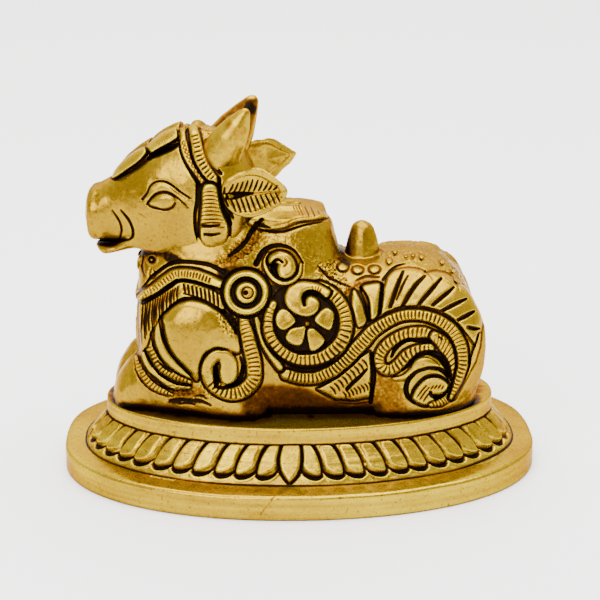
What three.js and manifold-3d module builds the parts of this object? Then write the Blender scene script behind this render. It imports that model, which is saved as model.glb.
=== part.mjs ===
// A recumbent bull with garlands on an oval lotus base, cast in brass as one piece.
// Millimetres, +Z up. The bull looks towards -X and its left side faces -Y.
// The origin is the centre of the underside of the base.

import * as THREE from "three";
import { mergeVertices } from "three/addons/utils/BufferGeometryUtils.js";
import Module from "manifold-3d";

const wasm = await Module();
wasm.setup();

// Driving sizes of the bull
const BULL_LENGTH = 73.2;
const BULL_WIDTH = 33.4;
const RELIEF_RISE = 0.9;
const RELIEF_SINK = 0.9;

// Driving sizes of the base, an oval that is a little squarer at the back than at the front
const SLAB_END_MARGIN = 0.9;
const SLAB_SIDE_MARGIN = 4.0;
const SLAB_HEIGHT = 3.2;
const SLAB_EDGE_ROUND = 0.5;
const SLAB_OVERHANG = 0.45;
const BAND_RUN = 4.4;
const BAND_HEIGHT = 6.4;
const LEDGE_WIDTH = 4.1;
const LEDGE_FALL = 0.4;
const TIER_HEIGHT = 5.2;
const TIER_EDGE_ROUND = 0.7;
const BACK_EXTRA = 3.0;
const FRONT_SQUARENESS = 2.1;
const BACK_SQUARENESS = 3.0;
const PETAL_PITCH = 4.1;
const PETAL_RISE = 0.8;
const OVAL_STEPS = 56;

// What follows from them
const slabTop = TIER_HEIGHT + BAND_HEIGHT + SLAB_HEIGHT;
const bullForward = BACK_EXTRA / 2;
const slabOval = {
  end: BULL_LENGTH / 2 + SLAB_END_MARGIN,
  side: BULL_WIDTH / 2 + SLAB_SIDE_MARGIN,
  middle: -bullForward,
  front: 2,
  back: 2,
};
const tierOval = {
  end: slabOval.end + BAND_RUN + LEDGE_WIDTH,
  side: slabOval.side + BAND_RUN + LEDGE_WIDTH + BACK_EXTRA / 2,
  middle: 0,
  front: FRONT_SQUARENESS,
  back: BACK_SQUARENESS,
};

// The bull is drawn 73.2 mm long, and its forms are shares of its length
const share = BULL_LENGTH / 73.2;

// The drawing plane stands through the middle of the bull and leans back, as the figure is looked at
// from a little above. A drawn point runs along its line from the eye to the bull's surface.
const EYE_DISTANCE = 400 * share;
const EYE_TURN = THREE.MathUtils.degToRad(-2.5);
const EYE_HEIGHT = THREE.MathUtils.degToRad(18);
const planeMiddle = new THREE.Vector3(0, 0, 18.5 * share);
const towardsEye = new THREE.Vector3(
  Math.sin(EYE_TURN) * Math.cos(EYE_HEIGHT),
  -Math.cos(EYE_TURN) * Math.cos(EYE_HEIGHT),
  Math.sin(EYE_HEIGHT),
);
const planeRight = new THREE.Vector3(Math.cos(EYE_TURN), Math.sin(EYE_TURN), 0);
const planeUp = new THREE.Vector3().crossVectors(towardsEye, planeRight);
const eye = planeMiddle.clone().addScaledVector(towardsEye, EYE_DISTANCE);

// The head turns a little away from the viewer, about an upright axis in the neck
const HEAD_TURN = THREE.MathUtils.degToRad(-7);
const headAxis = new THREE.Vector3(-16 * share, 0, 0);

// Closed solids

function toSolid(geometry) {
  const bare = geometry.clone();
  bare.deleteAttribute("normal");
  bare.deleteAttribute("uv");
  const merged = mergeVertices(bare, 1e-4);
  const mesh = new wasm.Mesh({
    numProp: 3,
    vertProperties: new Float32Array(merged.attributes.position.array),
    triVerts: new Uint32Array(merged.index.array),
  });
  return new wasm.Manifold(mesh);
}

function toGeometry(solid) {
  const mesh = solid.getMesh();
  const geometry = new THREE.BufferGeometry();
  geometry.setAttribute("position", new THREE.BufferAttribute(new Float32Array(mesh.vertProperties), 3));
  geometry.setIndex(new THREE.BufferAttribute(new Uint32Array(mesh.triVerts), 1));
  return geometry;
}

function join(geometries) {
  return geometries.map(toSolid).reduce((whole, next) => whole.add(next));
}

function signedVolume(points, triangles) {
  const cross = new THREE.Vector3();
  let total = 0;
  for (let i = 0; i < triangles.length; i += 3) {
    cross.crossVectors(points[triangles[i + 1]], points[triangles[i + 2]]);
    total += points[triangles[i]].dot(cross) / 6;
  }
  return total;
}

function fromTriangles(points, triangles) {
  if (signedVolume(points, triangles) < 0) {
    triangles.reverse();
  }
  const geometry = new THREE.BufferGeometry().setFromPoints(points);
  geometry.setIndex(triangles);
  return geometry;
}

// Rings of as many points each, joined in order; the ends are closed by flat fans,
// or the last ring joins the first
function loft(rings, endless = false) {
  const sides = rings[0].length;
  const triangles = [];
  const joints = endless ? rings.length : rings.length - 1;
  for (let r = 0; r < joints; r++) {
    for (let s = 0; s < sides; s++) {
      const a = r * sides + s;
      const b = r * sides + ((s + 1) % sides);
      const c = ((r + 1) % rings.length) * sides + s;
      const d = ((r + 1) % rings.length) * sides + ((s + 1) % sides);
      triangles.push(a, b, d, a, d, c);
    }
  }
  if (!endless) {
    const last = (rings.length - 1) * sides;
    for (let s = 1; s < sides - 1; s++) {
      triangles.push(0, s + 1, s);
      triangles.push(last, last + s, last + s + 1);
    }
  }
  return fromTriangles(rings.flat(), triangles);
}

// The bull's rounded forms, in shares of its length

function bullPoint(x, y, z) {
  return new THREE.Vector3(x, y, z).multiplyScalar(share);
}

function roundedSquare(angle, power) {
  const across = Math.cos(angle);
  const along = Math.sin(angle);
  const soften = (value) => Math.sign(value) * Math.abs(value) ** (2 / power);
  return [soften(across), soften(along)];
}

// Upright cross-sections along the bull: x, middle y, half width, lowest and highest z
function sectionsAlong(stations, sides, power) {
  const rings = stations.map(([x, middle, half, low, high]) => {
    const ring = [];
    for (let s = 0; s < sides; s++) {
      const [across, up] = roundedSquare((s / sides) * 2 * Math.PI, power);
      ring.push(bullPoint(x, middle + half * across, (low + high) / 2 + ((high - low) / 2) * up));
    }
    return ring;
  });
  return loft(rings);
}

// Level cross-sections going up: z, middle x, half length, half width
function sectionsUp(stations, sides, middleY = 0) {
  const rings = stations.map(([z, middle, halfLength, halfWidth]) => {
    const ring = [];
    for (let s = 0; s < sides; s++) {
      const angle = (s / sides) * 2 * Math.PI;
      ring.push(bullPoint(middle + halfLength * Math.cos(angle), middleY + halfWidth * Math.sin(angle), z));
    }
    return ring;
  });
  return loft(rings);
}

function swelling(middle, radii, lean, columns, rows) {
  const geometry = new THREE.SphereGeometry(1, columns, rows);
  geometry.scale(radii[0] * share, radii[1] * share, radii[2] * share);
  geometry.rotateY(THREE.MathUtils.degToRad(lean));
  const place = bullPoint(...middle);
  geometry.translate(place.x, place.y, place.z);
  return geometry;
}

// A round taper from its foot to its tip
function taper(foot, tip, radii, sides) {
  const start = bullPoint(...foot);
  const axis = bullPoint(...tip).sub(start);
  const turn = new THREE.Quaternion().setFromUnitVectors(
    new THREE.Vector3(0, 0, 1),
    axis.clone().normalize(),
  );
  const rings = radii.map(([part, radius]) => {
    const ring = [];
    for (let s = 0; s < sides; s++) {
      const angle = (s / sides) * 2 * Math.PI;
      const rim = new THREE.Vector3(Math.cos(angle), Math.sin(angle), 0).multiplyScalar(radius * share);
      ring.push(rim.applyQuaternion(turn).addScaledVector(axis, part).add(start));
    }
    return ring;
  });
  return loft(rings);
}

function mirrored(geometry, turn = 0, axis = new THREE.Vector3()) {
  const twin = geometry.clone();
  twin.translate(-axis.x, -axis.y, 0);
  twin.rotateZ(-turn);
  twin.scale(1, -1, 1);
  twin.rotateZ(turn);
  twin.translate(axis.x, axis.y, 0);
  const index = Array.from(twin.index.array).reverse();
  twin.setIndex(index);
  return twin;
}

function bothFlanks(geometry) {
  return [geometry, mirrored(geometry)];
}

function bothCheeks(geometry) {
  return [geometry, mirrored(geometry, HEAD_TURN, headAxis)];
}

function turnedWithHead(geometry) {
  geometry.translate(-headAxis.x, -headAxis.y, 0);
  geometry.rotateZ(HEAD_TURN);
  geometry.translate(headAxis.x, headAxis.y, 0);
  return geometry;
}

function trunk() {
  return sectionsAlong(
    [
      [-30.9, 0, 5.5, 2, 22],
      [-30.0, 0, 9.6, -1, 25.6],
      [-27.5, 0, 12.8, -4, 28.3],
      [-22.0, 0, 14.9, -4, 29.5],
      [-12.0, 0, 16.2, -4, 29.4],
      [0.0, 0, 16.6, -4, 28.0],
      [12.0, 0, 16.6, -4, 27.8],
      [19.0, 0, 16.3, -4, 28.2],
      [25.0, 0, 15.6, -4, 27.4],
      [29.0, 0, 14.2, -4, 25.4],
      [31.8, 0, 11.6, -3, 21.6],
      [33.8, 0, 8.6, -1, 16.4],
      [34.8, 0, 5.0, 2, 12.0],
    ],
    18,
    2.6,
  );
}

function neck() {
  return swelling([-15.5, 0.5, 27], [14.5, 10.5, 11.5], 0, 12, 7);
}

function nape() {
  return swelling([-9.5, 0.5, 31], [8.0, 8.5, 9.0], 0, 8, 6);
}

function hump() {
  return sectionsUp(
    [
      [22.0, -2.0, 13.0, 12.5],
      [28.0, -1.6, 9.6, 10.4],
      [32.0, -1.8, 8.5, 9.2],
      [35.0, -1.8, 7.4, 8.0],
      [36.7, -1.8, 5.6, 6.4],
      [37.3, -1.8, 2.8, 3.6],
    ],
    14,
  );
}

function peg() {
  return sectionsUp(
    [
      [25.0, 11.8, 3.5, 3.5],
      [29.0, 11.9, 3.2, 3.2],
      [31.6, 11.9, 2.6, 2.6],
      [33.4, 11.8, 1.8, 1.8],
      [34.2, 11.7, 0.9, 0.9],
    ],
    10,
  );
}

function shoulder() {
  return swelling([-19.4, -12.0, 15.2], [8.8, 5.0, 10.2], 20, 10, 7);
}

function foreleg() {
  return sectionsAlong(
    [
      [-36.3, -2.2, 2.0, -1, 1.4],
      [-35.4, -3.5, 4.0, -1, 4.2],
      [-33.4, -4.5, 5.2, -1, 7.8],
      [-29.6, -5.1, 6.2, -1, 10.6],
      [-21.0, -8.9, 5.8, -1, 10.7],
      [-12.0, -12.0, 5.2, -1, 8.2],
      [-7.0, -12.6, 2.6, -1, 5.0],
    ],
    10,
    2.3,
  );
}

function thigh() {
  return swelling([23.6, -9.2, 12.0], [11.2, 8.6, 14.2], 0, 12, 8);
}

function hindFoot() {
  return sectionsAlong(
    [
      [13.2, -11.6, 3.2, -1, 5.0],
      [16.0, -11.8, 4.8, -1, 8.5],
      [23.0, -11.2, 5.2, -1, 9.5],
      [29.0, -9.0, 5.0, -1, 9.5],
      [33.2, -5.4, 4.2, -1, 7.0],
    ],
    10,
    2.4,
  );
}

function skull() {
  return turnedWithHead(
    sectionsAlong(
      [
        [-40.6, 0, 2.8, 34.2, 39.0],
        [-39.8, 0, 4.8, 32.8, 40.4],
        [-37.8, 0, 5.8, 32.2, 41.6],
        [-35.2, 0, 6.0, 32.0, 43.2],
        [-32.0, 0, 6.6, 31.2, 46.0],
        [-28.0, 0, 7.8, 30.6, 49.2],
        [-23.5, 0, 8.8, 28.2, 51.6],
        [-18.5, 0, 9.4, 27.2, 52.8],
        [-14.0, 0, 9.2, 28.0, 51.6],
        [-10.5, 0, 8.0, 30.6, 48.4],
        [-8.2, 0, 4.8, 36.6, 44.5],
      ],
      16,
      2.3,
    ),
  );
}

function lowerJaw() {
  return turnedWithHead(
    sectionsAlong(
      [
        [-38.6, 0, 2.2, 29.6, 31.0],
        [-37.2, 0, 3.8, 28.7, 31.4],
        [-34.6, 0, 4.6, 28.8, 31.6],
        [-32.4, 0, 5.0, 29.2, 33.0],
        [-26.0, 0, 5.6, 29.2, 36.0],
      ],
      10,
      2.4,
    ),
  );
}

// Carving laid on the rounded forms

function sightline(across, up) {
  const through = planeMiddle
    .clone()
    .addScaledVector(planeRight, across * share)
    .addScaledVector(planeUp, up * share);
  return new THREE.Ray(eye.clone(), through.sub(eye).normalize());
}

function plumbLine(x, y) {
  return new THREE.Ray(bullPoint(x, y, 100), new THREE.Vector3(0, 0, -1));
}

function levelLine(y, z) {
  return new THREE.Ray(bullPoint(-100, y, z), new THREE.Vector3(1, 0, 0));
}

// The point on a sightline at a given distance from the bull's middle plane
function atDepth(across, up, y) {
  const ray = sightline(across, up);
  return ray.at((y * share - ray.origin.y) / ray.direction.y, new THREE.Vector3());
}

// Gives the point that a line first meets on a solid, and the way out of the surface there
function surfaceOf(solid, lineAt) {
  const material = new THREE.MeshBasicMaterial({ side: THREE.DoubleSide });
  const target = new THREE.Mesh(toGeometry(solid), material);
  const caster = new THREE.Raycaster();
  return (a, b) => {
    const ray = lineAt(a, b);
    caster.set(ray.origin, ray.direction);
    const hit = caster.intersectObject(target)[0];
    const out = hit.face.normal.clone().sub(ray.direction).normalize();
    return { point: hit.point, out };
  };
}

function lifted(meeting, height) {
  return meeting.point.clone().addScaledVector(meeting.out, height * share);
}

// A raised band with sloping edges along a drawn line
function band(surface, line, steps, width, rise = RELIEF_RISE, endless = false) {
  const rings = [];
  const stops = endless ? steps : steps + 1;
  const clamp = (t) => (endless ? (t + 1) % 1 : THREE.MathUtils.clamp(t, 0, 1));
  for (let i = 0; i < stops; i++) {
    const t = i / steps;
    const middle = line(t);
    const course = line(clamp(t + 0.01)).sub(line(clamp(t - 0.01))).normalize();
    const half = (typeof width === "function" ? width(t) : width) / 2;
    const beside = (part) => surface(middle.x - course.y * half * part, middle.y + course.x * half * part);
    rings.push([
      lifted(beside(-1), -RELIEF_SINK),
      lifted(beside(-0.7), rise),
      lifted(beside(0.7), rise),
      lifted(beside(1), -RELIEF_SINK),
    ]);
  }
  return loft(rings, endless);
}

// A raised cushion inside a drawn outline
function boss(surface, outline, rise = RELIEF_RISE) {
  const middle = new THREE.Vector2();
  outline.forEach(([a, b]) => middle.add(new THREE.Vector2(a, b).divideScalar(outline.length)));
  const inward = (a, b, part) => surface(a + (middle.x - a) * part, b + (middle.y - b) * part);
  const foot = outline.map(([a, b]) => lifted(surface(a, b), -RELIEF_SINK));
  const rim = outline.map(([a, b]) => lifted(inward(a, b, 0.14), rise * 0.8));
  const points = [...foot, ...rim, lifted(surface(middle.x, middle.y), rise * 1.1)];
  const sides = outline.length;
  const triangles = [];
  for (let s = 0; s < sides; s++) {
    const next = (s + 1) % sides;
    triangles.push(s, next, sides + next, s, sides + next, sides + s);
    triangles.push(sides + s, sides + next, 2 * sides);
  }
  for (let s = 1; s < sides - 1; s++) {
    triangles.push(0, s + 1, s);
  }
  return fromTriangles(points, triangles);
}

function throughPoints(points) {
  const curve = new THREE.SplineCurve(points.map(([a, b]) => new THREE.Vector2(a, b)));
  return (t) => curve.getPointAt(t);
}

function circle(across, up, radius) {
  return (t) => {
    const angle = t * 2 * Math.PI;
    return new THREE.Vector2(across + radius * Math.cos(angle), up + radius * Math.sin(angle));
  };
}

function tapering(widths) {
  return (t) => {
    const place = t * (widths.length - 1);
    const from = Math.min(Math.floor(place), widths.length - 2);
    return THREE.MathUtils.lerp(widths[from], widths[from + 1], place - from);
  };
}

// Ornament of each flank

// The rosette that pins the collar: a ring round a button
function rosette(side) {
  const [across, up] = [-10.3, 1.5];
  const button = [];
  for (let s = 0; s < 8; s++) {
    const rim = circle(across, up, 2.2)(s / 8);
    button.push([rim.x, rim.y]);
  }
  return [
    band(side, circle(across, up, 3.6), 14, 1.5, RELIEF_RISE * 1.4, true),
    boss(side, button, RELIEF_RISE * 1.2),
  ];
}

const medallionMiddle = [1.4, -4.5];

// The medallion on the ribs: a ring that ends in a fat curl
function medallion(side) {
  const radius = 7.25;
  const ring = [];
  for (let degrees = 150; degrees <= 430; degrees += 28) {
    const point = circle(...medallionMiddle, radius)(degrees / 360);
    ring.push([point.x, point.y]);
  }
  const curl = [
    [0.9, 2.9],
    [-1.0, 1.9],
    [-1.6, 0.0],
    [-0.2, -1.5],
    [1.7, -1.5],
    [2.3, -0.3],
  ];
  const line = throughPoints([...ring, ...curl]);
  return [band(side, line, 22, tapering([2.2, 2.7, 2.7, 2.7, 2.7, 3.2, 2.2]))];
}

// Four petals of a flower inside the medallion: direction, nearest and farthest reach, half angle
function flower(side) {
  const petals = [
    [168, 2.6, 5.8, 22],
    [225, 1.0, 4.9, 27],
    [296, 1.0, 4.9, 27],
    [14, 1.8, 5.3, 24],
  ];
  const corners = [[0, 0], [0.45, 1], [0.85, 0.9], [1, 0], [0.85, -0.9], [0.45, -1]];
  return petals.map(([degrees, near, far, spread]) => {
    const outline = corners.map(([part, swing]) => {
      const reach = THREE.MathUtils.lerp(near, far, part);
      const point = circle(...medallionMiddle, reach)((degrees + swing * spread) / 360);
      return [point.x, point.y];
    });
    return boss(side, outline, RELIEF_RISE * 0.8);
  });
}

// The scroll that hangs from the rosette down the foreleg and ends in a curl
function forelegScroll(side) {
  const line = throughPoints([
    [-10.9, -3.6],
    [-9.8, -7.0],
    [-8.9, -11.5],
    [-9.3, -15.0],
    [-12.0, -17.3],
    [-15.4, -17.4],
    [-17.8, -15.4],
    [-17.9, -12.9],
    [-16.0, -11.6],
    [-14.0, -12.4],
    [-13.6, -14.4],
  ]);
  return [band(side, line, 16, tapering([1.8, 2.6, 2.9, 2.7, 2.5, 2.3, 2.3]), RELIEF_RISE * 1.2)];
}

// The tail: it leaves the rump, arches over the thigh and runs under the medallion
function tail(side) {
  const line = throughPoints([
    [29.6, -18.3],
    [31.2, -14.5],
    [31.4, -10.4],
    [29.2, -6.2],
    [25.2, -3.6],
    [20.2, -2.8],
    [16.0, -4.2],
    [12.6, -7.2],
    [9.0, -11.0],
    [5.4, -13.8],
    [1.0, -14.9],
    [-3.4, -13.9],
    [-6.8, -9.6],
    [-8.4, -4.6],
  ]);
  return [band(side, line, 20, tapering([2.0, 2.4, 2.5, 2.5, 2.5, 2.4, 1.4]))];
}

// Two tongues that meet behind the knee of the hind leg and run down to the hoof
function thighArches(side) {
  const outer = throughPoints([
    [15.6, -11.4],
    [17.2, -8.0],
    [20.4, -6.2],
    [24.4, -6.0],
    [27.4, -8.0],
    [29.2, -11.8],
    [29.0, -15.2],
  ]);
  const inner = throughPoints([
    [17.8, -12.8],
    [20.6, -10.2],
    [24.0, -9.2],
    [26.8, -9.4],
  ]);
  return [
    band(side, outer, 8, tapering([1.6, 2.2, 2.2, 2.2, 2.0, 1.6])),
    band(side, inner, 4, tapering([1.4, 2.2, 2.0])),
  ];
}

// The hoof of the hind leg, tucked up and carved as a curl, and the fold of skin above it
function hindHoof(side) {
  const hoof = [
    [21.8, -18.4],
    [23.2, -16.1],
    [25.4, -15.0],
    [27.6, -15.3],
    [28.4, -16.6],
    [27.8, -18.2],
    [25.4, -19.4],
  ];
  const fold = throughPoints([
    [19.2, -16.0],
    [21.2, -13.4],
    [24.0, -11.7],
    [26.8, -13.0],
  ]);
  return [
    boss(side, hoof, RELIEF_RISE * 1.2),
    band(side, fold, 4, tapering([1.4, 2.2, 1.2]), RELIEF_RISE * 0.7),
  ];
}

// The pointed leaf between the tail and the hind foot
function bellyLeaf(side) {
  return [
    boss(
      side,
      [
        [3.6, -16.9],
        [8.2, -13.9],
        [13.2, -10.0],
        [13.6, -14.6],
        [13.2, -18.2],
        [8.0, -18.8],
      ],
      RELIEF_RISE * 0.9,
    ),
  ];
}

// Feathers fan out along the outer edge of the tail, from the ribs to the rump
function featherFan(side) {
  const tops = throughPoints([
    [11.4, 2.6],
    [15.2, 3.8],
    [20.4, 6.3],
    [25.6, 5.4],
    [29.3, 3.7],
    [32.2, 0.8],
    [32.6, -2.4],
    [32.8, -5.4],
  ]);
  const feet = throughPoints([
    [12.8, -3.6],
    [15.4, -2.4],
    [18.2, -1.2],
    [22.4, -0.6],
    [26.2, -1.2],
    [29.2, -2.8],
    [30.6, -4.4],
    [31.4, -6.4],
  ]);
  const count = 8;
  const gap = 0.05;
  const feathers = [];
  for (let i = 0; i < count; i++) {
    const [from, to] = [(i + gap) / count, (i + 1 - gap) / count];
    const middle = (i + 0.5) / count;
    const outline = [feet(from), tops(from), tops(middle), tops(to), feet(to)];
    feathers.push(boss(side, outline.map((p) => [p.x, p.y]), RELIEF_RISE * 0.75));
  }
  return feathers;
}

// The small curl on the side of the hump
function humpCurl(side) {
  const line = throughPoints([
    [-6.0, 6.6],
    [-4.6, 8.4],
    [-2.6, 8.4],
    [-1.5, 6.8],
    [-2.2, 5.1],
    [-3.5, 5.2],
  ]);
  return [band(side, line, 7, tapering([1.4, 1.8, 1.9, 1.9, 1.5]))];
}

// Crescents of the garland that falls from the collar across the knee
function crescents(side) {
  const count = 3;
  const bands = [];
  for (let i = 0; i < count; i++) {
    const out = i * 1.75;
    const line = throughPoints([
      [-27.6 - out * 0.55, -3.4 - out * 0.9],
      [-26.6 - out * 0.7, -8.6 - out * 0.8],
      [-23.8 - out * 0.5, -12.6 - out * 0.85],
      [-20.6 - out * 0.2, -15.6 - out * 0.75],
    ]);
    bands.push(band(side, line, 4, tapering([0.7, 1.5, 1.6, 0.8]), RELIEF_RISE * 0.8));
  }
  return bands;
}

function collarFlank(side) {
  const line = throughPoints([
    [-29.4, 2.4],
    [-26.6, 4.2],
    [-22.8, 5.8],
    [-18.4, 5.2],
    [-14.6, 3.0],
  ]);
  return [band(side, line, 5, 1.7)];
}

// The collar's front dips to the middle of the chest
function collarFront(front) {
  const line = throughPoints([
    [-11.8, 25.6],
    [-8.4, 22.8],
    [0, 20.6],
    [8.4, 22.8],
    [11.8, 25.6],
  ]);
  return [band(front, line, 6, 1.7)];
}

// Ornament of the head

function headBand(cheek) {
  const strap = throughPoints([
    [-19.9, 30.2],
    [-19.2, 28.6],
    [-17.4, 24.8],
    [-15.6, 21.8],
  ]);
  const tassel = throughPoints([
    [-16.4, 21.6],
    [-16.6, 17.0],
    [-16.3, 10.6],
  ]);
  return [
    band(cheek, strap, 4, tapering([4.2, 4.2, 3.0])),
    band(cheek, tassel, 3, tapering([2.6, 4.6, 4.4])),
  ];
}

function browBand(crown) {
  const line = throughPoints([
    [-20.0, -5.0],
    [-20.4, 0.8],
    [-19.0, 6.6],
  ]);
  return [band(crown, line, 4, 4.2)];
}

// The ridge of hair down the middle of the forehead, in two lobes
function forelock(crown) {
  const line = throughPoints([
    [-36.4, 2.5],
    [-29.0, 1.6],
    [-21.6, 0.8],
  ]);
  return [band(crown, line, 8, tapering([2.4, 5.4, 5.0, 3.6, 5.6, 5.8, 3.6]), RELIEF_RISE * 1.3)];
}

function eyeAndBrow(cheek) {
  const lids = [
    [-29.2, 18.4],
    [-27.6, 20.1],
    [-25.8, 20.5],
    [-24.0, 18.7],
    [-25.7, 17.5],
    [-27.8, 17.6],
  ];
  const brow = throughPoints([
    [-29.9, 19.6],
    [-28.2, 22.3],
    [-26.0, 22.7],
    [-21.4, 20.0],
  ]);
  return [
    boss(cheek, lids, RELIEF_RISE * 0.5),
    band(cheek, brow, 5, tapering([0.7, 1.1, 0.8]), RELIEF_RISE * 0.4),
  ];
}

function horns() {
  const foot = [-13.6, -4.6, 48.5];
  const tip = atDepth(-10.2, 36.4, -6.4).divideScalar(share).toArray();
  const horn = taper(foot, tip, [[-0.2, 3.3], [0.25, 3.2], [0.6, 2.3], [0.9, 1.1], [1.0, 0.6]], 10);
  return bothCheeks(horn);
}

// A leaf-shaped ear, hollowed in front and rounded behind
function ears() {
  const rim = [
    [-14.4, 20.8, -8.6],
    [-11.6, 24.2, -10.2],
    [-8.7, 25.8, -11.4],
    [-5.6, 24.6, -12.4],
    [-2.7, 20.9, -13.6],
    [-5.0, 17.9, -12.6],
    [-9.2, 15.9, -11.2],
    [-12.8, 16.6, -9.6],
  ];
  const thickness = 1.0;
  const front = rim.map(([across, up, y]) => atDepth(across, up, y));
  const back = rim.map(([across, up, y]) => atDepth(across, up, y + thickness));
  const hollow = atDepth(-9.6, 20.6, -10.0);
  const round = atDepth(-9.6, 20.6, -7.6);
  const sides = rim.length;
  const triangles = [];
  for (let s = 0; s < sides; s++) {
    const next = (s + 1) % sides;
    triangles.push(s, next, sides + next, s, sides + next, sides + s);
    triangles.push(next, s, 2 * sides, sides + s, sides + next, 2 * sides + 1);
  }
  return bothCheeks(fromTriangles([...front, ...back, hollow, round], triangles));
}

function bull() {
  const body = join([
    trunk(),
    neck(),
    nape(),
    hump(),
    peg(),
    ...bothFlanks(shoulder()),
    ...bothFlanks(foreleg()),
    ...bothFlanks(thigh()),
    ...bothFlanks(hindFoot()),
  ]);
  const head = join([skull(), lowerJaw()]);
  const side = surfaceOf(body, sightline);
  const front = surfaceOf(body, levelLine);
  const cheek = surfaceOf(head, sightline);
  const crown = surfaceOf(head, plumbLine);
  const carve = (forms) => forms.flatMap((form) => form(side));
  const nearFlank = carve([flower, thighArches, hindHoof, bellyLeaf, featherFan, humpCurl, crescents]);
  const eitherFlank = carve([rosette, medallion, forelegScroll, tail, collarFlank]);
  const headCarving = [headBand, eyeAndBrow].flatMap((carve) => carve(cheek));
  return [
    body,
    head,
    ...nearFlank.map(toSolid),
    ...eitherFlank.flatMap(bothFlanks).map(toSolid),
    ...headCarving.flatMap(bothCheeks).map(toSolid),
    ...collarFront(front).map(toSolid),
    ...browBand(crown).map(toSolid),
    ...forelock(crown).map(toSolid),
    ...horns().map(toSolid),
    ...ears().map(toSolid),
  ].reduce((whole, next) => whole.add(next));
}

// The base

// An outline between the slab's, at spread 0, and the lower tier's, at spread 1
class Oval extends THREE.Curve {
  constructor(spread) {
    super();
    this.arcLengthDivisions = 2000;
    const between = (key) => THREE.MathUtils.lerp(slabOval[key], tierOval[key], spread);
    Object.assign(this, { end: between("end"), side: between("side"), middle: between("middle") });
    Object.assign(this, { front: between("front"), back: between("back") });
  }

  getPoint(t) {
    const angle = t * 2 * Math.PI;
    const power = Math.sin(angle) < 0 ? this.front : this.back;
    const [across, along] = roundedSquare(angle, power);
    return new THREE.Vector3(this.end * across, this.middle + this.side * along, 0);
  }
}

const bandFoot = BAND_RUN / (BAND_RUN + LEDGE_WIDTH);
const bandSlope = Math.atan2(BAND_RUN, BAND_HEIGHT);

function ovalRing(spread, z) {
  const oval = new Oval(spread);
  const ring = [];
  for (let s = 0; s < OVAL_STEPS; s++) {
    ring.push(oval.getPointAt(s / OVAL_STEPS).setZ(z));
  }
  return ring;
}

// How much of the way from the slab's outline to the tier's a distance is
function spreadOf(distance) {
  return distance / (BAND_RUN + LEDGE_WIDTH);
}

function slab() {
  return loft([
    ovalRing(0, TIER_HEIGHT + BAND_HEIGHT),
    ovalRing(0, slabTop - SLAB_EDGE_ROUND),
    ovalRing(-spreadOf(SLAB_EDGE_ROUND), slabTop),
  ]);
}

function tier() {
  const rim = TIER_HEIGHT - LEDGE_FALL;
  return loft([
    ovalRing(1, 0),
    ovalRing(1, rim - TIER_EDGE_ROUND),
    ovalRing(1 - spreadOf(TIER_EDGE_ROUND), rim),
    ovalRing(bandFoot * 1.04, TIER_HEIGHT),
  ]);
}

// Lotus petals side by side round the sloping band, each a raised panel with a rounded lower end.
// A column stands at a place across the petal and takes a part of the swell; its lower end is raised.
function lotusBand() {
  const foot = new Oval(bandFoot);
  const petals = 4 * Math.round(foot.getLength() / PETAL_PITCH / 4);
  const columns = [
    { place: 0, part: -0.4, low: 0.3 },
    { place: 0.26, part: 1, low: 0.14 },
    { place: 0.74, part: 1, low: 0.14 },
  ];
  const levels = [
    { height: -0.03, swell: 0, low: 0 },
    { height: 0, swell: 0.35, low: 1 },
    { height: 0.5, swell: 1, low: 0 },
    { height: 1.02, swell: 0.5, low: 0 },
  ];
  const rings = levels.map(({ height, swell, low }) => {
    const ring = [];
    for (let p = 0; p < petals; p++) {
      for (const column of columns) {
        const place = foot.getUtoTmapping((p + column.place) / petals);
        const up = height + low * column.low;
        const rise = PETAL_RISE * swell * column.part;
        const outward = rise * Math.cos(bandSlope) - SLAB_OVERHANG * up;
        const spread = bandFoot * (1 - up) + spreadOf(outward);
        const z = TIER_HEIGHT + BAND_HEIGHT * up + rise * Math.sin(bandSlope);
        ring.push(new Oval(spread).getPoint(place).setZ(z));
      }
    }
    return ring;
  });
  return loft(rings);
}

const brass = new THREE.MeshStandardMaterial({ color: 0xb8892b, roughness: 0.32, metalness: 1 });

const base = join([tier(), lotusBand(), slab()]);
const figure = base.add(bull().translate([0, -bullForward, slabTop]));

const casting = new THREE.Mesh(toGeometry(figure), brass);
casting.name = "nandi_bull_on_lotus_base";

const object = new THREE.Group();
object.add(casting);

export default object;
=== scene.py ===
# A recumbent bull with garlands on an oval lotus base, antiqued brass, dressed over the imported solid.
# The bull and its base are one casting. Here they are meshed in overlapping closed pieces: the lotus
# base, the near front, near rear and far part of the body, the head, two horns and two ears.
# Lengths are millimetres until a mesh is made. The bull's own frame has its middle plane at y = 0 and
# the top of the slab at z = 0.

import math

import bpy
import numpy as np
import openvdb
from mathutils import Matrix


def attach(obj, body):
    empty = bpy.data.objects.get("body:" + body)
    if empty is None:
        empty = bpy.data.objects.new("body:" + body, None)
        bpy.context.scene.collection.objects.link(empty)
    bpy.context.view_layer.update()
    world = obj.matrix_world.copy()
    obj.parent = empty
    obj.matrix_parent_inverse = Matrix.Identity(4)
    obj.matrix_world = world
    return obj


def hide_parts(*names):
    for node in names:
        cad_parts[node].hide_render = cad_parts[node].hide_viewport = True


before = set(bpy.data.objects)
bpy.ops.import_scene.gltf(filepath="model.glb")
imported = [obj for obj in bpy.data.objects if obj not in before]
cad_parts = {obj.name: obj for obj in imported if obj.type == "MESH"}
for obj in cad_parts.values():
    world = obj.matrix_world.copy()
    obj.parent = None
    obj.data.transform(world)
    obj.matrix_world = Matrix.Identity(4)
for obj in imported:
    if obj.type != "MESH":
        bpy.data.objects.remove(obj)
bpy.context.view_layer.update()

NODE = "nandi_bull_on_lotus_base"
# Where the bull's own frame stands in the part's
BULL_PLACE = np.array([0.0, -1.5, 14.8])
MILLIMETRE = 0.001
MILLIMETRES_TO_A_METRE = 1000
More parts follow.
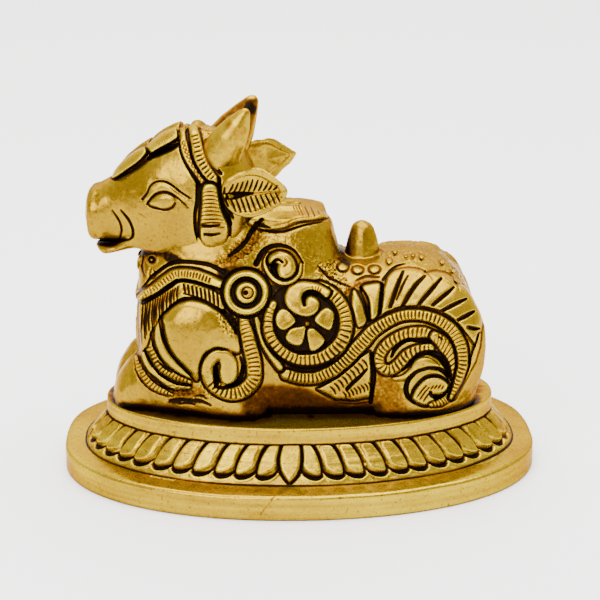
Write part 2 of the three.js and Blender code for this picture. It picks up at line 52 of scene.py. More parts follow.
# Width of a cell of the grid on which the bull is formed
CELL = 0.29
MOST_TRIANGLES = 190000
chance = np.random.default_rng(11)
# How far the carver's hand strays from a line, in units of the drawing sheet
HAND = 0.22
# How far along a line the hand strays anew, in the same units
SHAKE_STEP = 9.0

# The drawing sheet stands through the bull's middle and faces the viewer's eye: 5.2 units to the
# millimetre, its middle at 300, 300, and v runs down. A place on it lies on a line from the eye.
SHEET_SCALE = 5.2
SHEET_CENTRE = 300
EYE_DISTANCE = 400.0
EYE_TURN = math.radians(-2.5)
EYE_HEIGHT = math.radians(18)
SHEET_MIDDLE = np.array([0.0, 0.0, 18.5])
LEVEL = math.cos(EYE_HEIGHT)
BACK = np.array([math.sin(EYE_TURN) * LEVEL, -math.cos(EYE_TURN) * LEVEL, math.sin(EYE_HEIGHT)])
RIGHT = np.array([math.cos(EYE_TURN), math.sin(EYE_TURN), 0.0])
UP = np.cross(BACK, RIGHT)
EYE = SHEET_MIDDLE + BACK * EYE_DISTANCE
# The head is turned about an upright axis through the neck
HEAD_TURN = math.radians(-7)
HEAD_AXIS_X = -16.0


def on_sheet(points):
    """Where points of the bull's frame are drawn on the sheet."""
    away = points - EYE
    scale = EYE_DISTANCE / -(away @ BACK) * SHEET_SCALE
    return SHEET_CENTRE + (away @ RIGHT) * scale, SHEET_CENTRE - (away @ UP) * scale


def from_sheet(u, v, y):
    """The point of the bull's frame that is drawn at u, v and lies at a given y."""
    along = (np.asarray(u, float) - SHEET_CENTRE) / SHEET_SCALE
    above = (SHEET_CENTRE - np.asarray(v, float)) / SHEET_SCALE
    through = SHEET_MIDDLE + np.multiply.outer(along, RIGHT) + np.multiply.outer(above, UP)
    ray = through - EYE
    part = (np.asarray(y, float) - EYE[1]) / ray[..., 1]
    return EYE + ray * part[..., None]


def smoothstep(low, high, value):
    """0 at low and 1 at high, with a smooth run between them."""
    t = np.clip((value - low) / (high - low), 0, 1)
    return t * t * (3 - 2 * t)


# Carving, drawn as heights in millimetres and as soot and painted shade from 0 to 1


def spline(points, closed=False, step=0.2):
    """A smooth line through points, in even steps: places, directions and the length so far."""
    p = np.array(points, float)
    if closed:
        p = np.vstack([p[-1], p, p[0], p[1]])
    else:
        p = np.vstack([2 * p[0] - p[1], p, 2 * p[-1] - p[-2]])
    parts = []
    t = np.linspace(0, 1, 40, endpoint=False)[:, None]
    for a, b, c, d in zip(p[:-3], p[1:-2], p[2:-1], p[3:]):
        cubic = (3 * b - a - 3 * c + d) * t**3
        parts.append(0.5 * (2 * b + (c - a) * t + (2 * a - 5 * b + 4 * c - d) * t**2 + cubic))
    line = np.vstack(parts + [p[-2][None, :]])
    run = np.concatenate([[0], np.cumsum(np.linalg.norm(np.diff(line, axis=0), axis=1))])
    stops = np.linspace(0, run[-1], max(int(run[-1] / step), 2))
    line = np.stack([np.interp(stops, run, line[:, i]) for i in (0, 1)], axis=1)
    knots = np.arange(0, run[-1] + 20, SHAKE_STEP)
    shake = HAND * chance.standard_normal((len(knots), 2))
    shake[0] = shake[int(run[-1] / SHAKE_STEP)] = 0
    line += np.stack([np.interp(stops, knots, shake[:, i]) for i in (0, 1)], axis=1)
    course = np.gradient(line, axis=0)
    course /= np.linalg.norm(course, axis=1)[:, None]
    return line, course, stops


class Sheet:
    """A field of heights and of soot and painted shade over part of the drawing sheet."""

    FINE = 3

    def __init__(self, u0, v0, u1, v1):
        self.u0, self.v0 = u0, v0
        self.shape = (int((v1 - v0) * self.FINE), int((u1 - u0) * self.FINE))
        self.height = np.zeros(self.shape, np.float32)
        self.soot = np.zeros(self.shape, np.float32)

    def cells(self, low, high):
        """The window of cells between two corners, with the place of each."""
        c0 = max(int((low[0] - self.u0) * self.FINE), 0)
        c1 = min(int((high[0] - self.u0) * self.FINE) + 2, self.shape[1])
        r0 = max(int((low[1] - self.v0) * self.FINE), 0)
        r1 = min(int((high[1] - self.v0) * self.FINE) + 2, self.shape[0])
        u = self.u0 + np.arange(c0, c1) / self.FINE
        v = self.v0 + np.arange(r0, r1) / self.FINE
        return (slice(r0, r1), slice(c0, c1)), *np.meshgrid(u, v)

    def near_line(self, points, widths, margin, closed=False):
        """Cells near a line: the window, length along, distance across, past the ends, half width."""
        line, course, run = spline(points, closed)
        half = np.interp(run / run[-1], np.linspace(0, 1, len(widths)), np.array(widths, float)) / 2
        reach = half.max() + margin
        window, u, v = self.cells(line.min(axis=0) - reach, line.max(axis=0) + reach)
        along = np.zeros(u.shape, np.float32)
        across = np.full(u.shape, 1e6, np.float32)
        past = np.zeros(u.shape, np.float32)
        best = np.full(u.shape, 1e9, np.float32)
        wide = np.full(u.shape, 1.0, np.float32)
        starts = ((0, self.u0, window[1].start), (1, self.v0, window[0].start))
        for i in range(len(line)):
            a, b = line[i] - reach, line[i] + reach
            c_low, r_low = (int((a[axis] - corner) * self.FINE) - start for axis, corner, start in starts)
            c_high, r_high = (
                int((b[axis] - corner) * self.FINE) + 2 - start for axis, corner, start in starts
            )
            cs = slice(max(c_low, 0), c_high)
            rs = slice(max(r_low, 0), r_high)
            du, dv = u[rs, cs] - line[i, 0], v[rs, cs] - line[i, 1]
            gap = du * du + dv * dv
            nearer = gap < best[rs, cs]
            ahead = du * course[i, 0] + dv * course[i, 1]
            side = dv * course[i, 0] - du * course[i, 1]
            best[rs, cs][nearer] = gap[nearer]
            along[rs, cs][nearer] = (run[i] + ahead)[nearer]
            across[rs, cs][nearer] = side[nearer]
            wide[rs, cs][nearer] = half[i]
            if not closed and i in (0, len(line) - 1):
                past[rs, cs][nearer] = np.abs(ahead)[nearer]
            else:
                past[rs, cs][nearer] = 0
        return window, along, across, past, wide, run[-1]

    def groove(self, window, gap, width, depth, soot):
        """Cuts a ditch where gap, the distance from an edge, lies between 0 and width."""
        cut = np.clip(1 - np.abs(gap / width * 2 - 1), 0, 1) ** 0.7 * (gap > 0) * (gap < width)
        height = self.height[window]
        height[...] = np.where(cut > 0, np.minimum(height, height * (1 - cut) - depth * cut), height)
        ink = self.soot[window]
        ink[...] = np.maximum(ink, soot * np.clip(cut * 1.3, 0, 1))

    def band(
        self, points, widths, rise=0.9, pitch=0, cut=0.42, slant=0.0, plain=(0, 0),
        groove=3.0, deep=0.35, soot=1.0, rim=0.86, closed=False,
    ):
        """A raised band along a line with a sooty ditch beside it, hatched across where pitch isn't 0."""
        window, along, across, past, half, length = self.near_line(points, widths, groove + 1, closed)
        reach = np.hypot(across, past)
        self.groove(window, reach - half, groove, deep, soot)
        inside = reach < half
        part = np.clip(reach / half, 0, 1)
        top = rise * np.sqrt(np.clip(1 - part**3, 0, 1))
        ink = np.zeros_like(top)
        if pitch:
            place = (along + slant * across) / pitch
            stroke = np.floor(place)
            shift = 0.12 * np.sin(stroke * 12.9898) + 0.1 * np.sin(place * 0.37)
            line = np.clip(np.cos(2 * math.pi * (place + shift)) * 1.1 - 0.1, 0, 1)
            reach_of_stroke = rim + 0.1 * np.sin(stroke * 78.233)
            keep = smoothstep(0, 0.14, reach_of_stroke - np.abs(across) / half)
            keep *= smoothstep(0, 1.5, along - plain[0]) * smoothstep(0, 1.5, length - plain[1] - along)
            vary = 0.75 + 0.25 * np.sin(stroke * 37.719)
            top -= cut * line * keep * vary
            ink = 1.1 * line * keep * vary
        height = self.height[window]
        height[inside] = top[inside]
        black = self.soot[window]
        black[inside] = ink[inside]

    def engrave(self, points, widths, depth, soot=1.0, closed=False):
        """A cut line of round section."""
        window, _, across, past, half, _ = self.near_line(points, widths, 0.5, closed)
        part = np.clip(1 - (np.hypot(across, past) / half) ** 2, 0, 1)
        self.height[window] -= depth * part
        black = self.soot[window]
        black[...] = np.maximum(black, soot * np.clip(part * 2.2, 0, 1))

    def inside_gap(self, outline, margin, smooth):
        """Cells round a closed outline, with their distance to it, positive inside."""
        edge = spline(outline, True, 0.8)[0] if smooth else np.array(outline, float)
        window, u, v = self.cells(edge.min(axis=0) - margin, edge.max(axis=0) + margin)
        gap = np.full(u.shape, 1e9, np.float32)
        odd = np.zeros(u.shape, bool)
        for a, b in zip(edge, np.roll(edge, -1, axis=0)):
            run = b - a
            t = np.clip(((u - a[0]) * run[0] + (v - a[1]) * run[1]) / max(run @ run, 1e-9), 0, 1)
            gap = np.minimum(gap, (u - a[0] - t * run[0]) ** 2 + (v - a[1] - t * run[1]) ** 2)
            if a[1] != b[1]:
                crosses = (a[1] > v) != (b[1] > v)
                odd ^= crosses & (u < a[0] + (v - a[1]) / (b[1] - a[1]) * run[0])
        gap = np.sqrt(gap)
        return window, np.where(odd, gap, -gap), u, v

    def cushion(
        self, outline, rise=0.8, soft=4.0, groove=2.6, deep=0.35, soot=1.0, mode="set", smooth=True,
    ):
        """A raised form inside an outline, rounded off over a width of soft. It is set in place of what
        lies there, joined where it is higher, or added to it."""
        window, gap, _, _ = self.inside_gap(outline, groove + 1, smooth)
        if groove:
            self.groove(window, -gap, groove, deep, soot)
        part = 1 - np.clip(gap / soft, 0, 1)
        top = rise * np.sqrt(np.clip(1 - part**2.4, 0, 1))
        height = self.height[window]
        inside = gap > 0
        if mode == "add":
            height[inside] += top[inside]
            return
        if mode == "join":
            inside &= top > height
        height[inside] = top[inside]
        self.soot[window][inside] = 0

    def hatch(self, outline, start, turn, pitch, depth, inset=1.0, soot=0.75, width=0.5):
        """Straight strokes side by side inside an outline; turn is their direction in degrees."""
        window, gap, u, v = self.inside_gap(outline, 1, True)
        angle = math.radians(turn)
        place = ((v - start[1]) * math.cos(angle) - (u - start[0]) * math.sin(angle)) / pitch
        stroke = np.floor(place)
        line = np.clip(
            (np.cos(2 * math.pi * (place + 0.1 * np.sin(stroke * 9.1))) - width) / (1 - width), 0, 1,
        )
        keep = smoothstep(0, 0.8, gap - inset - 0.8 * np.abs(np.sin(stroke * 5.7)))
        self.height[window] -= depth * line * keep
        black = self.soot[window]
        black[...] = np.maximum(black, soot * line * keep)

    def ring(self, u0, v0, inner, outer, rise, soot=0.0, soft=1.2):
        """A flat ring, or a disc where inner is negative, set to one height and soot."""
        window, u, v = self.cells((u0 - outer - 1, v0 - outer - 1), (u0 + outer + 1, v0 + outer + 1))
        r = np.hypot(u - u0, v - v0)
        inside = (r < outer) & (r > inner)
        edge = np.minimum(outer - r, r - inner)
        top = rise * np.sqrt(np.clip(1 - (1 - np.clip(edge / soft, 0, 1)) ** 2, 0, 1))
        self.height[window][inside] = top[inside]
        self.soot[window][inside] = soot

    def patina_and_shade_patch(self, outline, soot, soft=4.0, rough=0.35):
        """A dark patch on low ground, broken up where it is rough: patina in some places and painted shade
        in others.
        """
        window, gap, _, _ = self.inside_gap(outline, 1, True)
        grain = self.grain(gap.shape, 1.0)
        black = self.soot[window]
        stained_and_shaded = soot * smoothstep(0, soft, gap) * np.clip(1 + rough * grain, 0, 1.2)
        black[...] = np.maximum(black, np.clip(stained_and_shaded, 0, 1))

    def grain(self, shape, size):
        """Smooth random values over a window, about size units across."""
        cells = max(int(size * self.FINE), 1)
        value = chance.standard_normal((shape[0] // cells + 3, shape[1] // cells + 3))
        row = np.arange(shape[0]) / cells
        col = np.arange(shape[1]) / cells
        return bilinear(value, row[:, None] + 0 * col[None, :], col[None, :] + 0 * row[:, None])

    def pits(self, outline, depth, size, soft=4.0, soot=0.5):
        """Rough ground: small pits and grains that fade out towards the outline."""
        window, gap, _, _ = self.inside_gap(outline, 1, True)
        value = self.grain(gap.shape, size)
        keep = smoothstep(0, soft, gap)
        self.height[window] += (depth * np.clip(value, -2, 1) * keep).astype(np.float32)
        black = self.soot[window]
        black[...] = np.maximum(black, soot * smoothstep(0.2, 1.4, -value) * keep)

    def finish(self):
        """Softens the heights a little and keeps how hollow each place is against its surroundings."""
        self.height = blurred(self.height, 1)
        self.soot = blurred(self.soot, 1)
        self.hollow = blurred(self.height, int(1.6 * self.FINE)) - self.height
        self.hollow_wide = blurred(self.height, int(4.5 * self.FINE)) - self.height

    def sample(self, field, u, v):
        """The values of one of the sheet's fields at places on it."""
        row = np.clip((v - self.v0) * self.FINE, 0, self.shape[0] - 1.001)
        col = np.clip((u - self.u0) * self.FINE, 0, self.shape[1] - 1.001)
        return bilinear(field, row, col)


def bilinear(field, row, col):
    """The field's values between its cells."""
    r, c = row.astype(np.int32), col.astype(np.int32)
    fr, fc = (row - r).astype(np.float32), (col - c).astype(np.float32)
    top = field[r, c] * (1 - fc) + field[r, c + 1] * fc
    low = field[r + 1, c] * (1 - fc) + field[r + 1, c + 1] * fc
    return top * (1 - fr) + low * fr


def blurred(field, radius):
    """A soft blur: two passes of a box mean each way."""
    for _ in range(2):
        for axis in (0, 1):
            pad = [(0, 0), (0, 0)]
            pad[axis] = (radius + 1, radius)
            total = np.cumsum(np.pad(field, pad, mode="edge"), axis=axis, dtype=np.float64)
            size = 2 * radius + 1
            if axis == 0:
                field = (total[size:] - total[:-size]) / size
            else:
                field = (total[:, size:] - total[:, :-size]) / size
    return field.astype(np.float32)


def arc(u, v, radius, start, end, count=14):
    """Points on a circle between two directions in degrees, counted from +u towards -v."""
    angle = np.radians(np.linspace(start, end, count))
    return [(u + radius * math.cos(a), v - radius * math.sin(a)) for a in angle]


def oval(u, v, long, tall):
    """Points on an upright oval, by its half length and half height."""
    angle = np.linspace(0, 2 * math.pi, 12, endpoint=False)
    return [(u + long * math.cos(a), v + tall * math.sin(a)) for a in angle]


def low_ground_patina_and_shade(s):
    """Dark patches on the low ground between the raised forms: patina, with painted shadow under the jaw
    and painted shade under the belly.
    """
    # Painted shadow under the jaw, partly patina, running on along the jaw's lower edge
    s.patina_and_shade_patch([(134, 244), (158, 244), (172, 251), (188, 262), (170, 264), (156, 257), (138, 257)], 0.95, 3)
    s.patina_and_shade_patch([(186, 256), (214, 258), (240, 244), (250, 250), (232, 268), (204, 264)], 0.42, 5, 0.9)
    s.patina_and_shade_patch([(218, 266), (262, 266), (280, 288), (274, 316), (238, 322), (218, 300)], 0.9, 7)
    # Painted shade under the belly, partly patina
    s.patina_and_shade_patch([(250, 384), (300, 382), (330, 394), (376, 398), (378, 422), (248, 422)], 0.62, 8, 0.15)
    s.patina_and_shade_patch(
        [(167, 399), (180, 396), (192, 397), (203, 399), (209, 404), (196, 404.6), (170, 404.4)],
        1.0, 2.4, 0.6,
    )
    s.engrave(
        [(170, 401), (182, 399.6), (191, 400.6), (200, 400.6), (211, 405.4)],
        [2, 4.4, 3, 4.2, 2], 0.25,
    )
    s.engrave([(179, 404.4), (187, 403), (195, 405)], [1.4, 3, 1.6], 0.15)
    s.engrave([(194, 396.4), (201, 395.6), (207, 399)], [1.2, 3, 1.4], 0.15)
    s.patina_and_shade_patch([(168, 384), (196, 383), (210, 396), (190, 400), (168, 396)], 0.42, 6, 0.4)
    s.patina_and_shade_patch([(130, 345), (146, 345), (168, 380), (200, 388), (186, 400), (150, 392)], 0.6, 6, 0.6)
    s.patina_and_shade_patch([(346, 282), (384, 278), (386, 318), (356, 330), (340, 318)], 0.55, 7, 0.6)
    s.patina_and_shade_patch([(372, 366), (398, 374), (410, 402), (420, 412), (372, 412)], 0.42, 9, 0.5)
    s.patina_and_shade_patch([(224, 250), (262, 226), (262, 246), (232, 268)], 0.5, 8, 0.9)
    s.pits(
        [(232, 256), (256, 230), (320, 234), (334, 262), (330, 284), (306, 276), (250, 276)],
        0.07, 1.2, 8, 0.35,
    )


def hump_leaf(s, full):
    """Hump: a lens-shaped leaf on its top, the crease below it and the one that parts it from the neck."""
    cap = [
        (247, 221), (258, 210.5), (275, 204), (296, 203), (316, 206.5), (328, 217), (314, 220.5),
        (299, 222),
    ]
    s.cushion(cap + [(284, 228), (267, 229.5), (256, 227)], 0.8, 5, groove=1.8, deep=0.3, soot=0.7)
    s.engrave(
        [(262, 230), (272, 232), (284, 231.4), (299, 226.4), (322, 221.5)],
        [1.8, 2.6, 2.6, 1.8, 1.0], 0.5,
    )
    s.engrave([(270, 226), (284, 223.5), (298, 218), (312, 216.5)], [0.8, 1.6, 1.6, 0.8], 0.22, 0.5)
    if full:
        s.hatch(
            [(291, 205), (306, 204.5), (322, 212), (316, 217.5), (300, 216)],
            (296, 206), 66, 2.6, 0.25, 0.3, 0.8, 0.3,
        )
        s.engrave(
            [(262, 219), (256, 226), (251, 232), (246.5, 240), (239, 248), (229, 256.5)],
            [3, 6.5, 6, 5, 5.5, 3], 0.6,
        )
        s.engrave([(256, 224), (262, 225.5), (270, 228)], [6, 4.5, 2], 0.4)
        s.pits([(236, 240), (262, 216), (268, 232), (246, 262), (214, 268), (216, 256)], 0.22, 1.3, 5, 0.9)


def back_bumps(s):
    """Back: ring discs, bumps and the edge line of the mantle."""
    s.pits([(316, 262), (338, 260), (352, 282), (350, 300), (330, 292), (316, 280)], 0.24, 1.1, 5, 0.75)
    s.pits(
        [(380, 240), (420, 244), (462, 262), (476, 290), (440, 272), (392, 262), (380, 262)],
        0.13, 1.0, 5, 0.3,
    )
    for u, v in ((342.9, 267.4), (357.6, 270.2), (374.3, 269.4)):
        s.cushion(oval(u, v, 5.2, 3.7), 0.4, 3.6, groove=2.0, deep=0.25, soot=0.8)
    s.patina_and_shade_patch([(335, 258), (340, 262.6), (350, 266.6), (352, 262), (343, 256)], 0.95, 2)
    for u, v, size in (
        (389, 261, 4.6),
        (395, 252, 3.0),
        (406, 256.5, 2.2),
        (413, 255.5, 2.2),
        (421.5, 257, 3.2),
        (442, 262, 3.0),
        (431, 249, 2.4),
        (453, 271, 2.6),
        (405, 246, 2.4),
    ):
        s.cushion(arc(u, v, size * 0.75, 0, 320, 7), 0.45, size * 0.8, groove=1.4, deep=0.15, soot=0.4)
    s.engrave([(318, 266), (327, 276), (340, 283), (350, 287)], [1.6, 3, 3.4, 1.6], 0.35, 0.9)
    s.engrave([(356, 280.6), (362, 277.6), (368, 276), (379, 277.4)], [1.4, 3.0, 3.4, 2.2], 0.35, 0.7)
    s.engrave([(383, 280), (389, 272), (396, 266.6), (405, 263.6)], [3.4, 3.4, 2.6, 1.2], 0.4)


def tail_feathers(s, full):
    """Feathers that fan out from the tail: plump leaves between deep slits."""
    fan = [
        (385, 284), (388, 275.5), (396, 269.6), (408, 267.2), (422, 270), (426, 272.8), (438, 271.2),
        (450, 275.6), (455, 283.6), (464, 286), (471, 294), (478, 307), (481.6, 318), (480.4, 333),
        (476, 345), (468, 336), (455, 320), (440, 311), (420, 306), (400, 307), (386, 312), (378, 316),
        (381, 300),
    ]
    s.cushion(fan, 0.8, 4.5, groove=2.0, deep=0.25, soot=0.5)
    s.engrave([(424.5, 271.5), (430, 276), (433, 280)], [2, 1.0], 0.3, 0.4)
    s.engrave([(454.6, 282), (458, 287), (460, 291)], [2, 1.0], 0.3, 0.4)
    s.cushion(
        [(362, 288), (370, 284), (380, 283.6), (380.4, 294), (378, 314), (371, 319), (367, 304)],
        0.8, 4.5, groove=2.6,
    )
    s.cushion([(353, 291), (359, 296), (366.4, 320), (358, 327), (352, 308)], 0.45, 4, groove=2.4, deep=0.3)
    feathers = (
        ((360.5, 287.5), (367, 299), (369, 321)),
        ((381.8, 283), (381.4, 297), (379.6, 314)),
        ((403, 271), (397.4, 286), (390, 307)),
        ((425, 275.6), (413.6, 288), (402.6, 305.6)),
        ((441.2, 278.2), (430, 291), (418.6, 304.2)),
        ((453.8, 287), (443.4, 296), (432.6, 305)),
        ((466.4, 298.6), (455, 304), (442.6, 310.6)),
        ((474, 311.2), (465.4, 316), (458, 320)),
        ((479.4, 328.4), (474, 328.6), (468, 327.4)),
    )
    for line in feathers if full else feathers[1:7]:
        s.engrave(line, [2.2, 5.2, 5.6, 4.4], 0.65, 0.42)
        s.engrave([(u + 0.7, v + 0.5) for u, v in line], [1.0, 2.2, 2.4, 1.8], 0.35)
    s.engrave([(408, 275.6), (402.4, 285), (396, 300.5)], [1.4, 3.4, 1.6], 0.35)


def rump_strip(s):
    """Smooth strip at the rump, outside the tail."""
    strip = [(480, 334), (477.5, 346.6), (471.6, 362), (465.6, 374.6), (458.4, 388.6), (454, 398)]
    s.band(strip, [1.6, 4.4, 5.4, 5.4, 4.8, 3], 0.6, groove=1.8, deep=0.3, soot=0.7)


def hatched_tongues(s):
    """Two hatched tongues of the thigh and the dark slot between them."""
    doubled_back = [
        (434, 334.6), (424, 332.4), (412, 332.8), (401, 336), (391, 341.6), (383.6, 348), (379, 357),
        (380.6, 366), (386.6, 370), (393.6, 368.4), (401, 361.6), (408, 355), (417, 350), (430, 348),
    ]
    s.band(
        doubled_back, [8, 11, 11.6, 11.4, 11, 11, 11, 11, 11, 11.4, 11.4, 11, 10.4, 9], 0.95, pitch=4.5,
        slant=0.2, rim=0.9, groove=2.0,
    )
    s.band(
        [(435, 336.6), (442.4, 343), (448.6, 352), (452, 362.6), (453.4, 373), (452.4, 383)],
        [11, 13.4, 13.4, 12.4, 11, 8], 0.95, pitch=4.3, slant=-0.5, rim=0.96, groove=2.2,
    )
    s.engrave(
        [(391.6, 356.6), (394.6, 350), (400, 344.4), (408, 340), (418, 340.4), (431, 341)],
        [2.6, 4.4, 4.6, 4.6, 4.2, 3], 0.8,
    )
    s.engrave([(439, 336.6), (442, 339.4)], [2, 2.6, 1.4], 0.4)


def skin_fold(s):
    """The smooth fold of skin over the hock and the deep lines round it."""
    s.cushion(
        [
            (392, 377.6), (402, 374.6), (410, 368), (415, 360.4), (423, 356.8), (432, 358.6),
            (440, 366), (436, 369), (424, 370.6), (412, 377), (403, 381), (394, 381),
        ],
        0.7, 6, groove=0,
    )
    s.engrave([(393, 376.6), (402, 374), (409.6, 367.4), (414, 360)], [0.8, 1.6, 2.0, 1.4], 0.25, 0.7)
    s.engrave(
        [
            (402.4, 370.8), (408.6, 365.4), (413.6, 358.4), (419, 354), (426.6, 352.2), (434.6, 353.8),
            (441.4, 357.6), (446, 365), (448.6, 372.4), (451.4, 380),
        ],
        [1.2, 2.6, 3.4, 4.0, 5.0, 8.2, 9.2, 8.4, 6.4, 4], 0.85,
    )
    s.engrave(
        [
            (414, 403), (408, 396.4), (405.8, 388), (409, 379), (415.4, 373), (423, 369.6),
            (431.4, 367.8), (440, 369.2), (447, 375),
        ],
        [2.0, 5.2, 5.6, 5.2, 4.4, 4.0, 4.0, 4.6, 5.6], 0.8,
    )


def tucked_hoof(s):
    """The tucked hoof with its strokes, and the hatched band behind it."""
    hoof = [
        (412.8, 399.5), (413.8, 392.6), (418, 385.6), (424, 379.8), (432, 377.2), (441, 378),
        (448, 384), (447.6, 389.8), (441.4, 393.8), (434.6, 395.6), (434, 402.4), (424, 405.4),
    ]
    s.cushion(hoof, 1.15, 3, groove=2.8, deep=0.4)
    for line in (
        ((426.4, 385.6), (421.6, 391), (417.2, 397.4)),
        ((429.2, 387.6), (424, 393.4), (419.6, 400)),
        ((431, 391.4), (427, 396), (423.4, 401.6)),
        ((433.4, 386), (430.6, 389.4)),
        ((437, 385.4), (434.4, 388.8)),
        ((440.6, 385), (438.2, 388.4)),
        ((443.6, 386), (441.2, 389.4)),
    ):
        s.engrave(line, [1.2, 1.7, 1.2], 0.3)
    s.engrave(
        [(448.6, 386.5), (446, 392.4), (439.6, 396.6), (432.4, 395.8), (430.4, 392)],
        [1.6, 3.4, 4.4, 5, 3.4], 0.7,
    )
    s.band(
        [(453, 389), (448, 397.4), (440, 402.4), (431, 405)],
        [5, 8, 8.5, 5], 0.75, pitch=2.9, groove=1.2, deep=0.2, rim=0.95,
    )


def plain_thigh(s):
    """One hatched band, for the far flank."""
    s.band(
        [
            (378, 362), (381.3, 351.3), (388, 342.5), (397.4, 335.8), (409, 332), (430, 333),
            (446, 346), (453, 366),
        ],
        [9, 11, 11.5, 11.5, 11, 11, 10], 0.6, pitch=4.4, plain=(3, 3), groove=2.2, deep=0.25, soot=0.8,
    )


def pointed_leaf(s):
    """The pointed leaf between the tail and the hind foot."""
    leaf = [
        (369.5, 351.5), (371, 368), (370, 397), (355, 400), (336, 399), (317, 389), (330, 382),
        (347, 369), (360, 357),
    ]
    s.cushion(leaf, 0.75, 3.5, groove=2.4, deep=0.35, smooth=False)
    for turn in range(9):
        u, v = 330 + turn * 4.0, 386.6 - turn * 3.4
        s.engrave([(u, v), (u + 3.4, v + 3), (u + 5.6, v + 7.6)], [1.1, 2.0, 1.4], 0.38, 1.0)
        u, v = 341 + turn * 3.6, 392.4 - turn * 1.4
        if turn < 8:
            s.engrave([(u + 2, v), (u + 4.4, v + 2.6), (u + 5.4, v + 6.4)], [1.1, 2.0, 1.4], 0.36, 1.0)
    s.engrave([(347, 389), (356, 380), (367, 369)], [4.2, 4.4, 2.2], 0.8)
    s.engrave([(318, 391), (336, 402), (352, 404.4), (368, 402.4)], [1.2, 2, 1.6], 0.22, 0.6)
    s.engrave([(372, 353.5), (373.3, 368), (374, 379.5), (370.6, 402)], [3.4, 5.2, 4.0, 4.6], 0.7)


def tail_band(s):
    """The tail, from the rump over the thigh and under the medallion, and the smooth strip beside it."""
    tail = [
        (450.6, 398), (455, 388), (459.4, 377), (462.6, 364), (462, 351), (458.6, 339.6), (452, 330),
        (442, 322), (430, 317), (417, 314.8), (404, 315.4), (392, 319.2), (380, 326), (370, 334.4),
        (358, 347), (347, 358.6), (337, 367.4), (326, 374), (313, 378), (299, 377.6), (286, 374),
    ]
    s.band(
        tail, [3.6, 8, 11, 12.2, 12, 11, 10.6, 10.6, 12, 13.6, 14.2, 13.6, 12, 11.4, 11], 1.05, pitch=3.9,
        groove=2.6, deep=0.45,
    )
    s.band(
        [(255.5, 316), (259.6, 328), (265.5, 343), (272, 355), (280, 367.6)],
        [4, 7.8, 9.2, 9.2, 7], 0.95, groove=2.8, deep=0.45,
    )


def medallion(s, full):
    """The medallion: a hatched ring that ends in a plain fat comma, round four petals."""
    middle = (307.6, 323.2)
    s.ring(*middle, -1, 44, -0.3, 0.85, soft=1)
    around_ring = np.radians(np.linspace(150, 432, 30))
    ring_line = [(307.2 + 39.2 * math.cos(a), 323.4 - 37.8 * math.sin(a)) for a in around_ring]
    s.band(ring_line, [8, 11, 12, 14, 15, 14, 12.4, 12], 1.1, pitch=4.9, plain=(3, 0), groove=2.8, deep=0.5)
    s.engrave(arc(*middle, 43.9, 208, 318, 16), [1.4, 3.2, 4.4, 3.6, 1.6], 0.3)
    comma = [
        (331, 291.4), (320, 284.5), (306, 281), (295, 282.6), (286.4, 290), (284, 299.6), (288, 308.6),
        (297, 315), (307.6, 317), (316.8, 313), (320, 305), (317, 298.6), (310, 296.4), (305.4, 299.2),
        (304.2, 304.5), (302.2, 299.5), (303.6, 293.6), (309.5, 290.4), (318, 292.4), (326, 298.4),
    ]
    s.cushion(comma, 1.2, 4.4, groove=2.0, deep=0.45)
    s.engrave(
        [(304.6, 305.4), (302.8, 299.4), (305, 294.8), (310.5, 293.2), (317, 295)],
        [3.4, 2.8, 2.4, 2, 1.4], 0.6,
    )
    for degrees in (96, 84, 72, 60):
        a = math.radians(degrees)
        near, far = ((314 + r * math.cos(a), 301 - r * math.sin(a)) for r in (9, 15))
        s.engrave([near, far], [1.0, 1.3], 0.22, 0.8)
    if full:
        petals = (
            [
                (276.4, 317), (280.5, 310.6), (287, 310.8), (294.4, 319), (293.4, 323.8), (284, 329.2),
                (277.6, 325.6),
            ],
            [
                (286.4, 336), (292, 329.2), (303, 326.8), (304.8, 332), (301.2, 343.8), (294.6, 344.6),
                (288.2, 341),
            ],
            [
                (307.8, 331), (313.2, 329.4), (319.4, 334), (324, 340.6), (317.8, 348), (311.2, 349.6),
                (308.2, 341),
            ],
            [
                (315.4, 319.8), (320.2, 312.6), (327, 308.6), (333.4, 313.4), (333, 322), (329.6, 329.2),
                (321.6, 326),
            ],
        )
        for petal in petals:
            u0, v0 = np.mean(petal, axis=0)
            petal = [(u + 0.13 * (u - u0), v + 0.13 * (v - v0)) for u, v in petal]
            s.cushion(petal, 0.95, 2.4, groove=1.4, deep=0.3)
        s.ring(307.2, 323.8, -1, 2.6, 0.2, 0.5)


